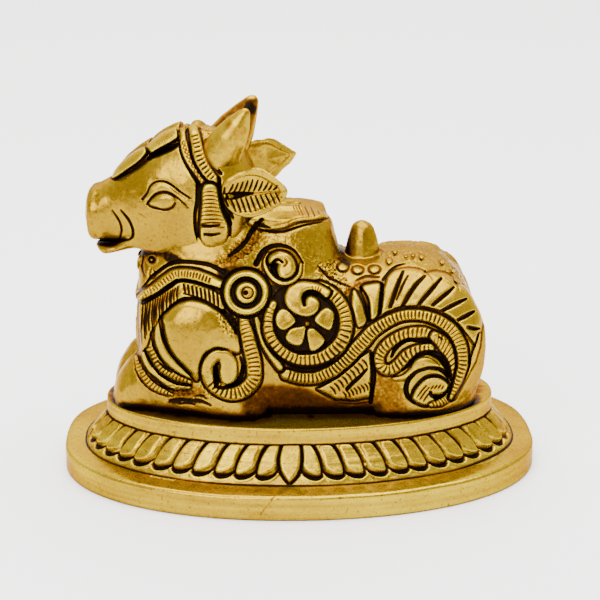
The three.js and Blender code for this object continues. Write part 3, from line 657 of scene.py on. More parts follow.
def knee_garlands(s, full):
    """Garland crescents that fall across the knee, smooth and hatched in turn."""
    s.engrave(
        [(162.4, 320), (163.4, 334), (169, 348.4), (179.4, 362), (195, 380)],
        [2, 3, 3, 2.8, 2], 0.4, 0.9,
    )
    s.band(
        [(157, 322), (158, 338), (163, 351.6), (173.4, 364.4), (185, 373.6), (196, 380)],
        [4, 7.8, 9.2, 9, 7.6, 4], 0.95, groove=1.3, deep=0.3, soot=0.8,
    )
    s.band(
        [(148.4, 329), (148.8, 343.6), (154, 357.6), (163, 369), (175, 376.8), (190, 382)],
        [4, 8, 8.4, 8.4, 7.4, 4], 0.75, pitch=3.8, cut=0.3, plain=(16, 0), groove=1.3, deep=0.3, soot=0.8,
    )
    s.engrave([(157.6, 361), (164, 367), (172, 372.6)], [1.2, 3.6, 1.2], 0.4)
    s.band(
        [(141.6, 346), (146, 361), (154.6, 373.6), (165, 382), (177, 387), (190, 387)],
        [3, 5.8, 6.8, 7, 6, 3], 0.9, groove=1.3, deep=0.3, soot=0.8,
    )
    s.engrave([(149.6, 373), (157, 380), (165, 386), (173, 390)], [1.2, 3, 3, 1.6], 0.4)
    if full:
        s.band(
            [(136.4, 357), (140.4, 371), (148.6, 382), (159, 389.6), (172, 394.6)],
            [4, 7.6, 8, 7.4, 3], 0.6, pitch=3.6, cut=0.25, groove=1.2, deep=0.25, soot=0.6,
        )
        s.engrave([(134.4, 368), (141, 380), (152, 390), (168, 397)], [1, 1.6, 2, 1.6], 0.3, 0.8)
        s.pits([(166, 384), (200, 382), (216, 398), (196, 404), (168, 400)], 0.2, 1.0, 4, 0.5)


def smooth_shoulder(s):
    """The smooth shoulder."""
    shoulder = [
        (163, 319), (169, 311), (179, 303.4), (192.4, 300.6), (206, 304), (220, 313), (231, 325),
        (238.4, 337), (240, 352), (230, 352), (214, 350), (203, 360), (198, 380), (190, 373), (178, 359.6),
        (168, 345),
    ]
    s.cushion(shoulder, 0.85, 12, groove=2.6, deep=0.4)
    s.engrave(
        [(160.6, 316.6), (170, 307.4), (183, 299), (197, 298.6), (212, 304), (225, 311.4)],
        [2.6, 4.4, 3.4, 2.6, 3, 4], 0.5,
    )
    s.engrave([(222, 311), (230, 317), (234.4, 325), (236, 333)], [3.4, 6.4, 7.6, 3.4], 0.5)
    s.engrave([(207.6, 352), (205, 356), (202.4, 362)], [3, 6, 3], 0.35, 0.8)
    s.pits([(216, 312), (238, 314), (240, 332), (226, 336)], 0.3, 1.0, 3, 1.0)


def foreleg_scroll(s):
    """The hatched scroll down the foreleg, and its plain curled end."""
    scroll = [
        (243.4, 317), (246.8, 334.9), (250, 347.5), (253.1, 359), (254.4, 370.5), (252.6, 380.8),
        (246.4, 388.6), (237, 393.2), (226.7, 393), (216.6, 387.8), (209.4, 379.6), (207.2, 369.6),
        (210, 361), (217, 355.8), (224, 356.6),
    ]
    s.band(
        scroll, [9, 12.6, 14, 15, 15.2, 15.2, 15, 14.6, 14.4, 14, 13.4, 13, 12.6, 12.6, 12], 1.15,
        pitch=4.2, plain=(0, 36), rim=0.84, groove=2.4, deep=0.5,
    )
    lobe = [
        (217, 356), (221, 350.4), (228.6, 350.6), (235, 356.4), (238.2, 365), (237.6, 375.4), (233.6, 383),
        (226.6, 385.2), (220.6, 381.6), (218.6, 373), (219.4, 365),
    ]
    s.cushion(lobe, 1.15, 5.5, groove=0, mode="join")
    s.engrave([(215.6, 367), (216, 376), (216.4, 386)], [4.6, 6.4, 5.4], 0.9)
    s.engrave(
        [(219, 387.6), (227, 387.6), (235.6, 383.4), (241, 376), (243, 366)],
        [4, 4.6, 5.6, 5.4, 3.4], 0.7,
    )
    s.engrave([(240.4, 357), (243, 364), (243.4, 372)], [3, 5, 5], 0.4, 0.9)


def collar_fringe(s):
    """The fringe below the collar."""
    fringe = [
        (140, 300), (160, 291), (180, 282), (205, 287), (224, 298), (222, 310), (200, 299.4),
        (184, 297.4), (173, 304), (161, 316), (152, 330), (147, 346), (141, 346),
    ]
    s.cushion(fringe, 0.45, 2.4, groove=1.6, deep=0.25)
    for turn in range(15):
        a, b = turn / 14, 1.0 + 0.3 * math.sin(turn * 2.7)
        top = (143 + 35 * a, 305 - 18.6 * a)
        low = (142 + 34.6 * a + 0.8 * math.sin(turn * 1.9), 344 - 44 * a**0.8)
        mid = ((top[0] + low[0]) / 2 - 1.0, (top[1] + low[1]) / 2)
        s.engrave([top, mid, low], [1.4, 2.2 * b, 1.2], 0.42, 1.0)
    for turn in range(9):
        top = (183.6 + 4.2 * turn, 284 + 1.0 * turn)
        low = (top[0] + 1.4, 292.6 + 1.7 * turn)
        s.engrave([top, low], [1.8, 2.6, 1.6], 0.42, 1.0)


KNOB = (152, 259.6)


def collar(s):
    """The collar: a hatched rope with a plain rim, a second hatched strip, and the knob above them."""
    s.band(
        [
            (140.6, 297.6), (153, 289.4), (165, 280.6), (174.4, 274.8), (183, 273.8), (194, 275.2),
            (205, 278.4), (220, 284),
        ],
        [7, 9.4, 10.4, 11, 11.4, 11.5, 11.4, 9], 1.05, pitch=3.2, plain=(2, 9), rim=0.66, groove=2.6,
        deep=0.4,
    )
    s.engrave(
        [(143, 303.6), (160, 293.8), (171, 286.4), (180, 280.2), (195, 282), (214, 287.6)],
        [2.8, 4.0, 4.0, 3.4, 2.4, 1.8], 0.6,
    )
    s.engrave([(183.6, 293.4), (196, 297), (210, 303.4), (226, 313)], [1.6, 2.2, 2.8, 3.4], 0.4)
    s.engrave(
        [
            (140, 290), (148, 281), (158, 271.6), (168, 265), (178, 262), (194, 262.4), (209, 265),
            (224, 272),
        ],
        [1.6, 3, 4, 4.4, 4.6, 4.6, 5.0, 6], 0.5,
    )
    s.engrave([(144, 256), (142.6, 266), (144.6, 276)], [1.6, 3, 1.6], 0.3, 0.8)
    s.engrave([(154, 275), (162, 268.4), (171, 262.6), (181, 259.4)], [1.2, 1.8, 1.8, 1.2], 0.25, 0.8)
    s.ring(*KNOB, 3.4, 6.0, 0.25, 0.4)
    s.ring(*KNOB, -1, 3.4, -0.25, 1.0)
    s.ring(151.6, 259.8, -1, 1.7, 0.3, 0.0)
    s.engrave([(151, 268), (149.5, 274), (152, 279), (156, 275), (153.6, 270)], [1.2, 1.6, 1.4], 0.25, 0.8)


def hump_curl(s):
    """The small curl on the hump, in a dark hollow."""
    s.ring(281.6, 266.4, -1, 20.5, -0.2, 0.3, soft=5)
    rim = [
        (268, 254), (264.6, 262), (267.4, 272), (274.6, 280), (284, 283.4), (293.4, 281), (299.6, 274),
        (301, 264),
    ]
    s.band(rim, [3, 4.6, 4.8, 4.6, 4.4, 3], 0.5, groove=1.4, deep=0.3, soot=0.8)
    curl = [
        (268, 258), (272, 253.4), (280, 250.8), (289.4, 254), (295, 261.4), (296.2, 269.4), (292, 276.4),
        (285, 278.8), (279, 276.4), (276.6, 270), (277.4, 264.6), (273.6, 264), (268.6, 264),
    ]
    s.cushion(curl, 1.05, 4.6, groove=2.2, deep=0.5)
    s.engrave(
        [(282.6, 262.4), (278, 259.4), (273.8, 262), (273.2, 269), (276.4, 276)],
        [2.2, 2.8, 5, 5.6, 4], 0.85,
    )
    s.engrave([(284, 266.6), (287, 262.6), (285.4, 258.8)], [1.4, 1.8, 1.0], 0.3, 0.8)
    s.engrave(
        [(256, 264), (262, 252.6), (272, 246), (284, 245.4), (295, 251), (303, 263)],
        [6, 6, 5.4, 4.4, 2.4, 1.6], 0.55,
    )
    s.patina_and_shade_patch([(266, 282), (276, 284), (288, 287), (286, 294), (278, 299), (270, 292)], 1.0, 3)


ROSETTE = (246.2, 292.8)
ROSETTE_BOSS = (247.4, 292.8)


def rosette(s):
    """The rosette that pins the collar."""
    rings = (
        (22, 26, -0.5, 1.0, 1.5), (15.2, 23, 1.25, 0.0, 3.4),
        (10.8, 15.8, -0.3, 1.0, 1.5), (-1, 11.2, 1.0, 0.0, 3),
    )
    for inner, outer, rise, soot, soft in rings:
        s.ring(*ROSETTE, inner, outer, rise, soot, soft)
    s.engrave(arc(*ROSETTE_BOSS, 5.6, 0, 340), [1.7, 2.1], 0.45, 1.0, closed=True)
    s.ring(247.2, 292.8, -1, 4.4, 0.85, 0.0, soft=2.5)
    s.ring(245.8, 292.8, -1, 2.2, 0.0, 1.0, soft=0.8)
    s.ring(249.4, 293, -1, 1.4, 0.75, 0.0, soft=0.8)


def carve_flank(full):
    """The ornament of a flank. The far one, where full is False, has less of it."""
    s = Sheet(100, 195, 500, 425)
    low_ground_patina_and_shade(s)
    hump_leaf(s, full)
    back_bumps(s)
    tail_feathers(s, full)
    rump_strip(s)
    if full:
        hatched_tongues(s)
        skin_fold(s)
        tucked_hoof(s)
        pointed_leaf(s)
    else:
        plain_thigh(s)
    tail_band(s)
    medallion(s, full)
    knee_garlands(s, full)
    smooth_shoulder(s)
    foreleg_scroll(s)
    if full:
        collar_fringe(s)
    collar(s)
    hump_curl(s)
    rosette(s)
    s.finish()
    return s


def hair_plates(s):
    """Two plates of hair on the forehead, undercut below."""
    s.engrave([(118, 178), (128, 172.6), (139, 165.6), (149, 158.4)], [2, 4.4, 4.6, 4], 0.5, 0.7)
    s.cushion(
        [
            (112, 177.6), (115, 168.4), (124, 158.4), (135, 150.6), (146.6, 145), (150.4, 149.4),
            (140, 161), (127, 170.4), (117, 177.4),
        ],
        1.5, 4.5, groove=2.2, deep=0.35, soot=0.75,
    )
    s.cushion(
        [
            (147, 146), (153, 139), (162, 131), (176, 125.6), (189, 126), (183, 134.4), (173, 141.6),
            (160, 148.6), (151, 153.4),
        ],
        1.6, 4.5, groove=2.4, deep=0.35, soot=0.8,
    )
    s.engrave(
        [(149, 158.6), (156, 154), (164, 150.6), (174, 146.4), (179, 143.4)],
        [4.6, 7.6, 7.6, 7, 3], 0.75,
    )


def head_band(s):
    """Head band: a beaded strip, a hatched strip beside the horn, and the hanging tassel."""
    s.band(
        [(182, 130), (184, 145), (188, 158), (195.4, 171), (204, 182), (211, 190)],
        [7, 7.6, 8, 8, 7.6, 5], 0.7, groove=1.8, deep=0.3, soot=0.7,
    )
    for turn in range(9):
        a = turn / 8
        u, v = 183.6 + 18.6 * a**1.3, 143 + 37 * a
        s.ring(u, v, 1.2, 2.5, 0.5, 0.55, soft=0.8)
    s.engrave(
        [(179.4, 140), (181, 152), (187.4, 166), (196, 179), (200, 186)],
        [1.2, 1.8, 2.6, 4.6, 5.4], 0.5,
    )
    s.band(
        [(193, 128), (196.4, 144), (199.6, 157), (206, 169.4), (215, 181)],
        [10, 11.6, 12, 11.6, 9], 0.95, pitch=4.1, cut=0.5, plain=(6, 2), rim=0.72, groove=2, deep=0.35,
    )
    s.engrave([(190, 142), (191.6, 157), (199, 171), (208, 183)], [1.6, 3, 3.6, 2.4], 0.45)
    s.engrave([(205.4, 140), (207.6, 152), (213, 163), (220.6, 173.6)], [2.4, 3.4, 4, 4.4], 0.5)
    s.cushion(
        [
            (203.6, 186), (216.4, 186), (219.4, 200), (223, 215), (228, 226.6), (227.4, 238), (223, 244.6),
            (213.5, 248.6), (205.4, 247), (200.6, 239.6), (199.8, 223.6), (201.4, 206),
        ],
        1.15, 3, groove=3.2, deep=0.5,
    )
    for turn in range(10):
        v = 192 + 3.9 * turn + 0.3 * math.sin(turn * 3.1)
        right = float(np.interp(v, [190, 205, 215, 230], [216.4, 219, 221.6, 226]))
        s.engrave(
            [(203.4 - 0.3 * turn, v + 0.4), ((203 + right) / 2, v - 0.3), (right, v + 0.3)],
            [0.9, 1.6, 0.8], 0.34, 0.9,
        )
    s.engrave([(201.8, 225.4), (210, 226), (220, 224.8)], [3, 3.6, 1.8], 0.45)
    s.engrave([(204.4, 234.4), (212, 235), (220, 233.6)], [3, 3.6, 1.8], 0.45)
    s.engrave([(218.4, 178), (220.4, 194), (225, 207.6), (230.4, 224)], [4, 5, 8, 4], 0.65)
    s.engrave([(227, 196), (229, 208), (233, 218)], [3, 6, 3], 0.4, 0.9)
    s.engrave(
        [(198, 182), (197.4, 200), (195.4, 215), (196.2, 231.5), (200.4, 246.4)],
        [4.6, 5, 4, 3.4, 2.4], 0.6,
    )


def eye(s):
    """Eye, lids and brows."""
    s.cushion(
        [
            (142, 197), (148, 188), (154, 183), (163, 182.6), (174, 187), (186, 196), (192, 202),
            (186, 204), (176, 196), (166, 191.4), (156, 193), (148, 201),
        ],
        0.3, 4, groove=0, mode="add",
    )
    s.cushion(
        [
            (149.6, 203), (156, 196.4), (164, 193.8), (172, 195.8), (175, 201), (171.5, 206.6),
            (163.5, 209), (155.5, 207),
        ],
        0.55, 6, groove=0, mode="add",
    )
    s.engrave(
        [
            (146.6, 204.6), (152, 197.8), (159, 192.9), (167, 192.4), (174, 196), (181.6, 201.4),
            (189, 208.4),
        ],
        [1.6, 2.6, 2.5, 2.4, 2, 1.6, 1], 0.4, 1.0,
    )
    s.engrave(
        [(147.6, 202.4), (150, 206.2), (157, 208.2), (165.7, 210), (172, 207.8), (175.4, 202.6)],
        [1.6, 2.6, 2.2, 2.2, 2.2, 1.6], 0.34, 0.95,
    )
    s.engrave(
        [
            (142.6, 199), (147, 193), (150.4, 185.6), (157, 181.2), (166, 182), (174, 187), (182, 193.4),
            (191.6, 199),
        ],
        [3.6, 2.6, 2, 2.2, 2.2, 2.4, 2.4, 1], 0.4, 1.0,
    )
    s.engrave([(170, 187.4), (177, 193), (186, 199)], [1.0, 1.6, 0.9], 0.2, 0.7)


def muzzle(s):
    """Muzzle and mouth."""
    s.engrave([(112, 209.6), (119, 220.4), (121.8, 230), (120.2, 238)], [1.2, 2.4, 2.4, 1.4], 0.35, 0.95)
    s.engrave(
        [(120.6, 209.6), (129, 220), (133, 230), (132.4, 237), (128, 239.8)],
        [1.2, 2.8, 3, 2.8, 1.4], 0.4, 1.0,
    )
    s.engrave([(98, 240), (106, 240.4), (116, 240.6), (127, 239.6)], [2.6, 4.6, 4.2, 1.2], 0.75)
    s.engrave([(138, 213), (142, 215), (146, 218)], [0.8, 1.3, 0.8], 0.1, 0.5)
    s.engrave([(110, 198), (114, 201), (117, 204)], [0.8, 1.2, 0.8], 0.1, 0.5)


def jaw_shade_and_pits(s):
    """Painted shadow below the jaw, partly patina, and pitted ground on the neck."""
    # Painted shadow under the jaw
    s.patina_and_shade_patch([(140, 250), (158, 250), (172, 254), (186, 262), (170, 272), (140, 266)], 0.8, 3, 0.6)
    s.pits([(196, 252), (226, 250), (240, 236), (246, 246), (226, 266), (196, 266)], 0.1, 1.2, 4, 0.6)


def carve_cheek():
    """The ornament of the head."""
    s = Sheet(90, 95, 300, 275)
    s.pits([(186, 116), (214, 122), (212, 140), (196, 142), (182, 132)], 0.14, 1.1, 4, 0.5)
    hair_plates(s)
    head_band(s)
    eye(s)
    muzzle(s)
    jaw_shade_and_pits(s)
    s.finish()
    return s


# Rounded forms, as fields of distance on one grid over the bull

GRID_LOW = np.array([-42.4, -19.2, -1.6])
GRID_HIGH = np.array([37.4, 19.3, 58.6])
AXES = [np.arange(GRID_LOW[i], GRID_HIGH[i], CELL).astype(np.float32) for i in range(3)]
# What a cell says that is far from every form
EMPTY = 6.0
# How far past its corners a form's window reaches
JOIN_ROOM = 3.5
# How far from a form's surface its carving is worked out, and the most that a meshed field says
CARVING_REACH = 1.5
FIELD_CAP = 1.2


def new_field():
    """A field that is empty all over."""
    return np.full([len(a) for a in AXES], EMPTY, np.float32)


def window_of(low, high):
    """The cells between two corners, with room for a soft join."""
    cut = []
    for i in range(3):
        a, b = np.searchsorted(AXES[i], [low[i] - JOIN_ROOM, high[i] + JOIN_ROOM])
        cut.append(slice(a, b))
    return tuple(cut)


def places(window):
    """The places of a window's cells along each axis."""
    x = AXES[0][window[0]][:, None, None]
    y = AXES[1][window[1]][None, :, None]
    z = AXES[2][window[2]][None, None, :]
    return x, y, z


def as_distance(field):
    """The field scaled so that it grows by 1 to the millimetre."""
    slope = np.gradient(field, CELL)
    steep = np.sqrt(slope[0] ** 2 + slope[1] ** 2 + slope[2] ** 2)
    return (field / np.maximum(steep, 0.3)).astype(np.float32)


def soft_min(a, b, blend):
    """The lower of two fields, joined with a fillet."""
    part = np.clip(0.5 + 0.5 * (b - a) / blend, 0, 1)
    return b + (a - b) * part - blend * part * (1 - part)


def soft_max(a, b, blend):
    """The higher of two fields, joined with a round."""
    return -soft_min(-a, -b, blend)


def rows_between(stations, at):
    """The stations' values at places between them, by a smooth curve through each column."""
    table = np.array(stations, float)
    stops, values = table[:, 0], table[:, 1:]
    slopes = np.gradient(values, stops, axis=0)
    at = np.clip(at, stops[0], stops[-1])
    i = np.clip(np.searchsorted(stops, at) - 1, 0, len(stops) - 2)
    span = stops[i + 1] - stops[i]
    t = ((at - stops[i]) / span)[..., None]
    span = span[..., None]
    return (
        values[i] * (2 * t**3 - 3 * t**2 + 1)
        + slopes[i] * span * (t**3 - 2 * t**2 + t)
        + values[i + 1] * (3 * t**2 - 2 * t**3)
        + slopes[i + 1] * span * (t**3 - t**2)
    )


def section_form(along, across, up, stations, power, cap):
    """Upright sections along a line: place, middle across, half width, lowest and highest."""
    row = rows_between(stations, along)
    middle, half, low, high = (row[..., i].astype(np.float32) for i in range(4))
    half = np.maximum(half, 0.4)
    tall = np.maximum((high - low) / 2, 0.4)
    sideways = np.abs((across - middle) / half) ** power
    reach = (sideways + np.abs((up - (low + high) / 2) / tall) ** power) ** (1 / power)
    body = as_distance((reach - 1) * np.minimum(half, tall))
    ends = np.maximum(stations[0][0] - along, along - stations[-1][0]) + 0 * across + 0 * up
    return soft_max(body, ends.astype(np.float32), cap)


def level_form(x, y, z, stations, cap):
    """Level sections going up: height, middle along, half length, half width."""
    row = rows_between(stations, z)
    middle, long, wide = (row[..., i].astype(np.float32) for i in range(3))
    reach = np.sqrt(((x - middle) / long) ** 2 + (y / wide) ** 2)
    body = as_distance((reach - 1) * np.minimum(long, wide))
    ends = np.maximum(stations[0][0] - z, z - stations[-1][0]) + 0 * x + 0 * y
    return soft_max(body, ends.astype(np.float32), cap)


def swelling(x, y, z, middle, radii, lean=0.0):
    """An oval body that leans by some degrees."""
    x, y, z = x - middle[0], y - middle[1], z - middle[2]
    c, s = math.cos(math.radians(lean)), math.sin(math.radians(lean))
    x, z = x * c - z * s, x * s + z * c
    k0 = np.sqrt((x / radii[0]) ** 2 + (y / radii[1]) ** 2 + (z / radii[2]) ** 2)
    k1 = np.sqrt((x / radii[0] ** 2) ** 2 + (y / radii[1] ** 2) ** 2 + (z / radii[2] ** 2) ** 2)
    return k0 * (k0 - 1) / np.maximum(k1, 1e-4)


TRUNK = (
    (-31.6, 0, 5.5, 2, 22),
    (-30.6, 0, 9.8, -1, 25.6),
    (-27.5, 0, 12.8, -4, 28.3),
    (-22.0, 0, 14.9, -4, 29.5),
    (-12.0, 0, 16.2, -4, 29.4),
    (0.0, 0, 16.6, -4, 28.0),
    (12.0, 0, 16.6, -4, 27.8),
    (19.0, 0, 16.3, -4, 28.2),
    (25.0, 0, 15.6, -4, 27.4),
    (29.0, 0, 14.2, -4, 25.4),
    (31.8, 0, 11.6, -3, 21.6),
    (33.8, 0, 8.6, -1, 16.4),
    (34.8, 0, 5.0, 2, 12.0),
)
FORELEG = (
    (-36.3, -2.2, 2.0, -1, 1.4),
    (-35.4, -3.5, 4.0, -1, 4.2),
    (-33.4, -4.5, 5.2, -1, 7.8),
    (-29.6, -5.1, 6.2, -1, 10.6),
    (-21.0, -8.9, 5.8, -1, 10.7),
    (-12.0, -12.0, 5.2, -1, 8.2),
    (-7.0, -12.6, 2.6, -1, 5.0),
)
HIND_FOOT = (
    (13.2, -11.6, 3.2, -1, 5.0),
    (16.0, -11.8, 4.8, -1, 8.5),
    (23.0, -11.2, 5.2, -1, 9.5),
    (29.0, -9.0, 5.0, -1, 9.5),
    (33.2, -5.4, 4.2, -1, 7.0),
)
HUMP = (
    (22.0, -2.0, 13.0, 12.5),
    (28.0, -1.6, 9.6, 10.4),
    (32.0, -1.8, 8.5, 9.2),
    (35.0, -1.8, 7.4, 8.0),
    (36.7, -1.8, 5.6, 6.4),
    (37.4, -1.8, 2.8, 3.6),
)
PEG = (
    (25.0, 11.8, 3.5, 3.5),
    (29.0, 11.9, 3.2, 3.2),
    (31.6, 11.9, 2.6, 2.6),
    (33.4, 11.8, 1.8, 1.8),
    (34.3, 11.7, 0.9, 0.9),
)
SKULL = (
    (-40.8, 0, 2.8, 33.0, 39.0),
    (-40.0, 0, 4.8, 31.5, 40.4),
    (-37.8, 0, 5.8, 30.8, 41.6),
    (-35.2, 0, 6.0, 30.8, 43.2),
    (-32.0, 0, 6.6, 30.4, 46.0),
    (-28.0, 0, 7.8, 30.6, 49.2),
    (-23.5, 0, 8.8, 28.2, 51.6),
    (-18.5, 0, 9.4, 27.2, 52.8),
    (-14.0, 0, 9.2, 28.0, 51.6),
    (-10.5, 0, 8.0, 30.6, 48.4),
    (-8.2, 0, 4.8, 36.6, 44.5),
)
JAW = (
    (-38.8, 0, 2.2, 29.4, 30.2),
    (-37.4, 0, 3.8, 28.5, 30.5),
    (-34.6, 0, 4.6, 28.7, 30.9),
    (-32.4, 0, 5.0, 29.2, 33.0),
    (-26.0, 0, 5.6, 29.2, 36.0),
)


def body_field():
    """The bull without its head: trunk, neck, hump, peg, shoulders, thighs and feet."""
    field = new_field()

    def add(low, high, blend, form):
        window = window_of(low, high)
        field[window] = soft_min(field[window], form(*places(window)), blend)

    add((-31, -17, -4), (35, 17, 30), 0.1, lambda x, y, z: section_form(x, y, z, TRUNK, 2.6, 2.5))
    add(
        (-30, -11, 15), (0, 11, 39), 2.5,
        lambda x, y, z: swelling(x, y, z, (-15.5, 0.5, 27), (14.5, 10.5, 11.5)),
    )
    add((-18, -9, 22), (0, 9, 40), 2.0, lambda x, y, z: swelling(x, y, z, (-9.5, 0.5, 31), (8.0, 8.5, 9.0)))
    add((-16, -13, 21), (12, 13, 38), 1.6, lambda x, y, z: level_form(x, y, z, HUMP, 2.6))
    add((8, -4, 24), (16, 4, 35), 0.5, lambda x, y, z: level_form(x, y, z, PEG, 1.0))
    add(
        (-28, -17, 4), (-10, 17, 26), 0.8,
        lambda x, y, z: swelling(x, -np.abs(y), z, (-19.4, -12.0, 15.2), (8.8, 5.0, 10.2), 20),
    )
    add(
        (-37, -16, -1), (-6, 16, 11), 0.6,
        lambda x, y, z: section_form(x, -np.abs(y), z, FORELEG, 2.3, 1.5),
    )
    add(
        (12, -18, -2), (35, 18, 27), 1.6,
        lambda x, y, z: swelling(x, -np.abs(y), z, (23.6, -9.2, 12.0), (11.2, 8.6, 14.2)),
    )
    add(
        (13, -17, -1), (34, 17, 10), 0.6,
        lambda x, y, z: section_form(x, -np.abs(y), z, HIND_FOOT, 2.4, 1.5),
    )
    return field


def head_places(x, y, z):
    """Places in the head's own frame, which is turned about an upright axis."""
    c, s = math.cos(HEAD_TURN), math.sin(HEAD_TURN)
    x = x - HEAD_AXIS_X
    return x * c + y * s + HEAD_AXIS_X, y * c - x * s, z


def head_field():
    """The head: skull, jaw and cheeks."""
    field = new_field()
    window = window_of((-41, -14, 27), (-7, 14, 53))
    x, y, z = head_places(*places(window))
    skull = section_form(x, y, z, SKULL, 2.3, 1.6)
    jaw = section_form(x, y, z, JAW, 2.4, 1.0)
    cheek = swelling(x, np.abs(y), z, (-22.4, 4.2, 36.4), (9.4, 4.7, 9.0))
    field[window] = soft_min(soft_min(skull, jaw, 0.5), cheek, 2.0)
    return field


def doubled(field):
    """The field on a grid twice as fine, by cubic steps along each axis."""
    for axis in range(3):
        a = np.moveaxis(field, axis, 0)
        padded = np.concatenate([a[:1], a, a[-1:]])
        fine = np.empty((2 * a.shape[0] - 1, *a.shape[1:]), np.float32)
        fine[::2] = a
        fine[1::2] = (9 * (padded[1:-2] + padded[2:-1]) - padded[:-3] - padded[3:]) / 16
        field = np.moveaxis(fine, 0, axis)
    return np.ascontiguousarray(field)


LATTICE_SIZE = 48
LATTICES = [chance.standard_normal([LATTICE_SIZE] * 3).astype(np.float32) for _ in range(3)]


def lumps(points, size, seed):
    """Smooth random values in space, about size millimetres across."""
    lattice = LATTICES[seed % 3]
    place = points / np.array(size) + seed * 7.31
    i = np.floor(place).astype(int)
    f = smoothstep(0, 1, place - i)
    total = np.zeros(len(points))
    for dx in (0, 1):
        for dy in (0, 1):
            for dz in (0, 1):
                weight = np.prod(np.where([dx, dy, dz], f, 1 - f), axis=1)
                total += weight * lattice[tuple(((i + [dx, dy, dz]) % LATTICE_SIZE).T)]
    return total


def hand_finish(points):
    """How far the filed and scraped surface strays from its form."""
    total = 0
    for size, height, seed in ((4.5, 0.07, 1), (1.4, 0.035, 2), (0.55, 0.012, 5)):
        total = total + lumps(points, (size, size, size), seed) * height
    return total


def side_weight(normals, flip):
    """How much of a flank's ornament a place takes. The far flank's stops short of the outline."""
    low, high = (0.25, 0.5) if flip else (0.04, 0.24)
    return smoothstep(low, high, normals @ BACK)


def turned(points, angle):
    """Points turned about the head's upright axis."""
    c, s = math.cos(angle), math.sin(angle)
    x = points[:, 0] - HEAD_AXIS_X
    y, z = points[:, 1], points[:, 2]
    return np.stack([x * c - y * s + HEAD_AXIS_X, x * s + y * c, z], axis=1)


def mirrored(points, of_head):
    """Points carried across the middle plane of the body or of the turned head."""
    if of_head:
        points = turned(points, -HEAD_TURN)
    points = points * np.array([1, -1, 1])
    return turned(points, HEAD_TURN) if of_head else points


def mirrored_way(ways, of_head):
    """Directions carried across the same plane."""
    if not of_head:
        return ways * np.array([1, -1, 1])
    origin = np.array([[HEAD_AXIS_X, 0, 0]])
    return mirrored(ways + origin, True) - mirrored(origin, True)


def beyond_middle(points, of_head):
    """0 on the near side of that plane and 1 on the far side."""
    y = turned(points, -HEAD_TURN)[:, 1] if of_head else points[:, 1]
    return smoothstep(-0.4, 0.4, y)


def read_sheets(points, normals, near, far, front, of_head, field):
    """A field of the sheets at points: the near flank's, the mirrored far one's and the front's."""
    value = np.zeros(len(points), np.float32)
    part = beyond_middle(points, of_head)
    for sheet, share, flip in ((near, 1 - part, False), (far, part, True)):
        pick = share > 0
        p = mirrored(points[pick], of_head) if flip else points[pick]
        n = mirrored_way(normals[pick], of_head) if flip else normals[pick]
        u, v = on_sheet(p)
        value[pick] += sheet.sample(getattr(sheet, field), u, v) * share[pick] * side_weight(n, flip)
    if front is not None:
        inward = np.where(points[:, 1:2] > 0, mirrored_way(normals, False), normals)
        weight = smoothstep(0.3, 0.6, -normals[:, 0]) * (points[:, 0] < -24)
        weight *= 1 - smoothstep(0.12, 0.34, inward @ BACK)
        u, v = SHEET_CENTRE + points[:, 1] * SHEET_SCALE, SHEET_CENTRE - points[:, 2] * SHEET_SCALE
        value = value * (1 - weight) + front.sample(getattr(front, field), u, v) * weight
    return value


def carve_chest():
    """The ornament of the chest, seen from the front: the collar dips to the middle, with a fringe."""
    s = Sheet(205, 140, 395, 310)

    def at(across, height):
        """The place on the sheet of millimetres across the chest and above the slab."""
        return SHEET_CENTRE + across * SHEET_SCALE, SHEET_CENTRE - height * SHEET_SCALE

    tufts = [at(-11, 24), at(0, 18.5), at(11, 24), at(9, 13), at(0, 9), at(-9, 13)]
    s.hatch(tufts, (300, 200), 90, 3.4, 0.14, 0.5, width=0.1)
    collar_line = [at(-12.6, 26.4), at(-8.4, 22.8), at(0, 20.6), at(8.4, 22.8), at(12.6, 26.4)]
    s.band(
        collar_line, [8, 8.4, 8.4, 8.4, 8], 0.4, pitch=3, cut=0.3, rim=0.66, groove=3, deep=0.25
    )
    for across in (-6.4, -2.2, 2.2, 6.4):
        loop = arc(*at(across, 27.2), 6, 200, 520, 12)
        s.band(loop, [2, 4, 4.5, 4], 0.5, groove=2, deep=0.25, soot=0.8)
    s.finish()
    return s


def trilinear(field, points):
    """The field's values at points between its cells."""
    place = (points - GRID_LOW) / CELL
    limit = np.array(field.shape) - 1.001
    place = np.clip(place, 0, limit)
    i = place.astype(np.int32)
    f = (place - i).astype(np.float32)
    total = np.zeros(len(points), np.float32)
    for dx in (0, 1):
        for dy in (0, 1):
            for dz in (0, 1):
                weight = (f[:, 0] if dx else 1 - f[:, 0]) * (f[:, 1] if dy else 1 - f[:, 1])
                weight = weight * (f[:, 2] if dz else 1 - f[:, 2])
                total += weight * field[i[:, 0] + dx, i[:, 1] + dy, i[:, 2] + dz]
    return total


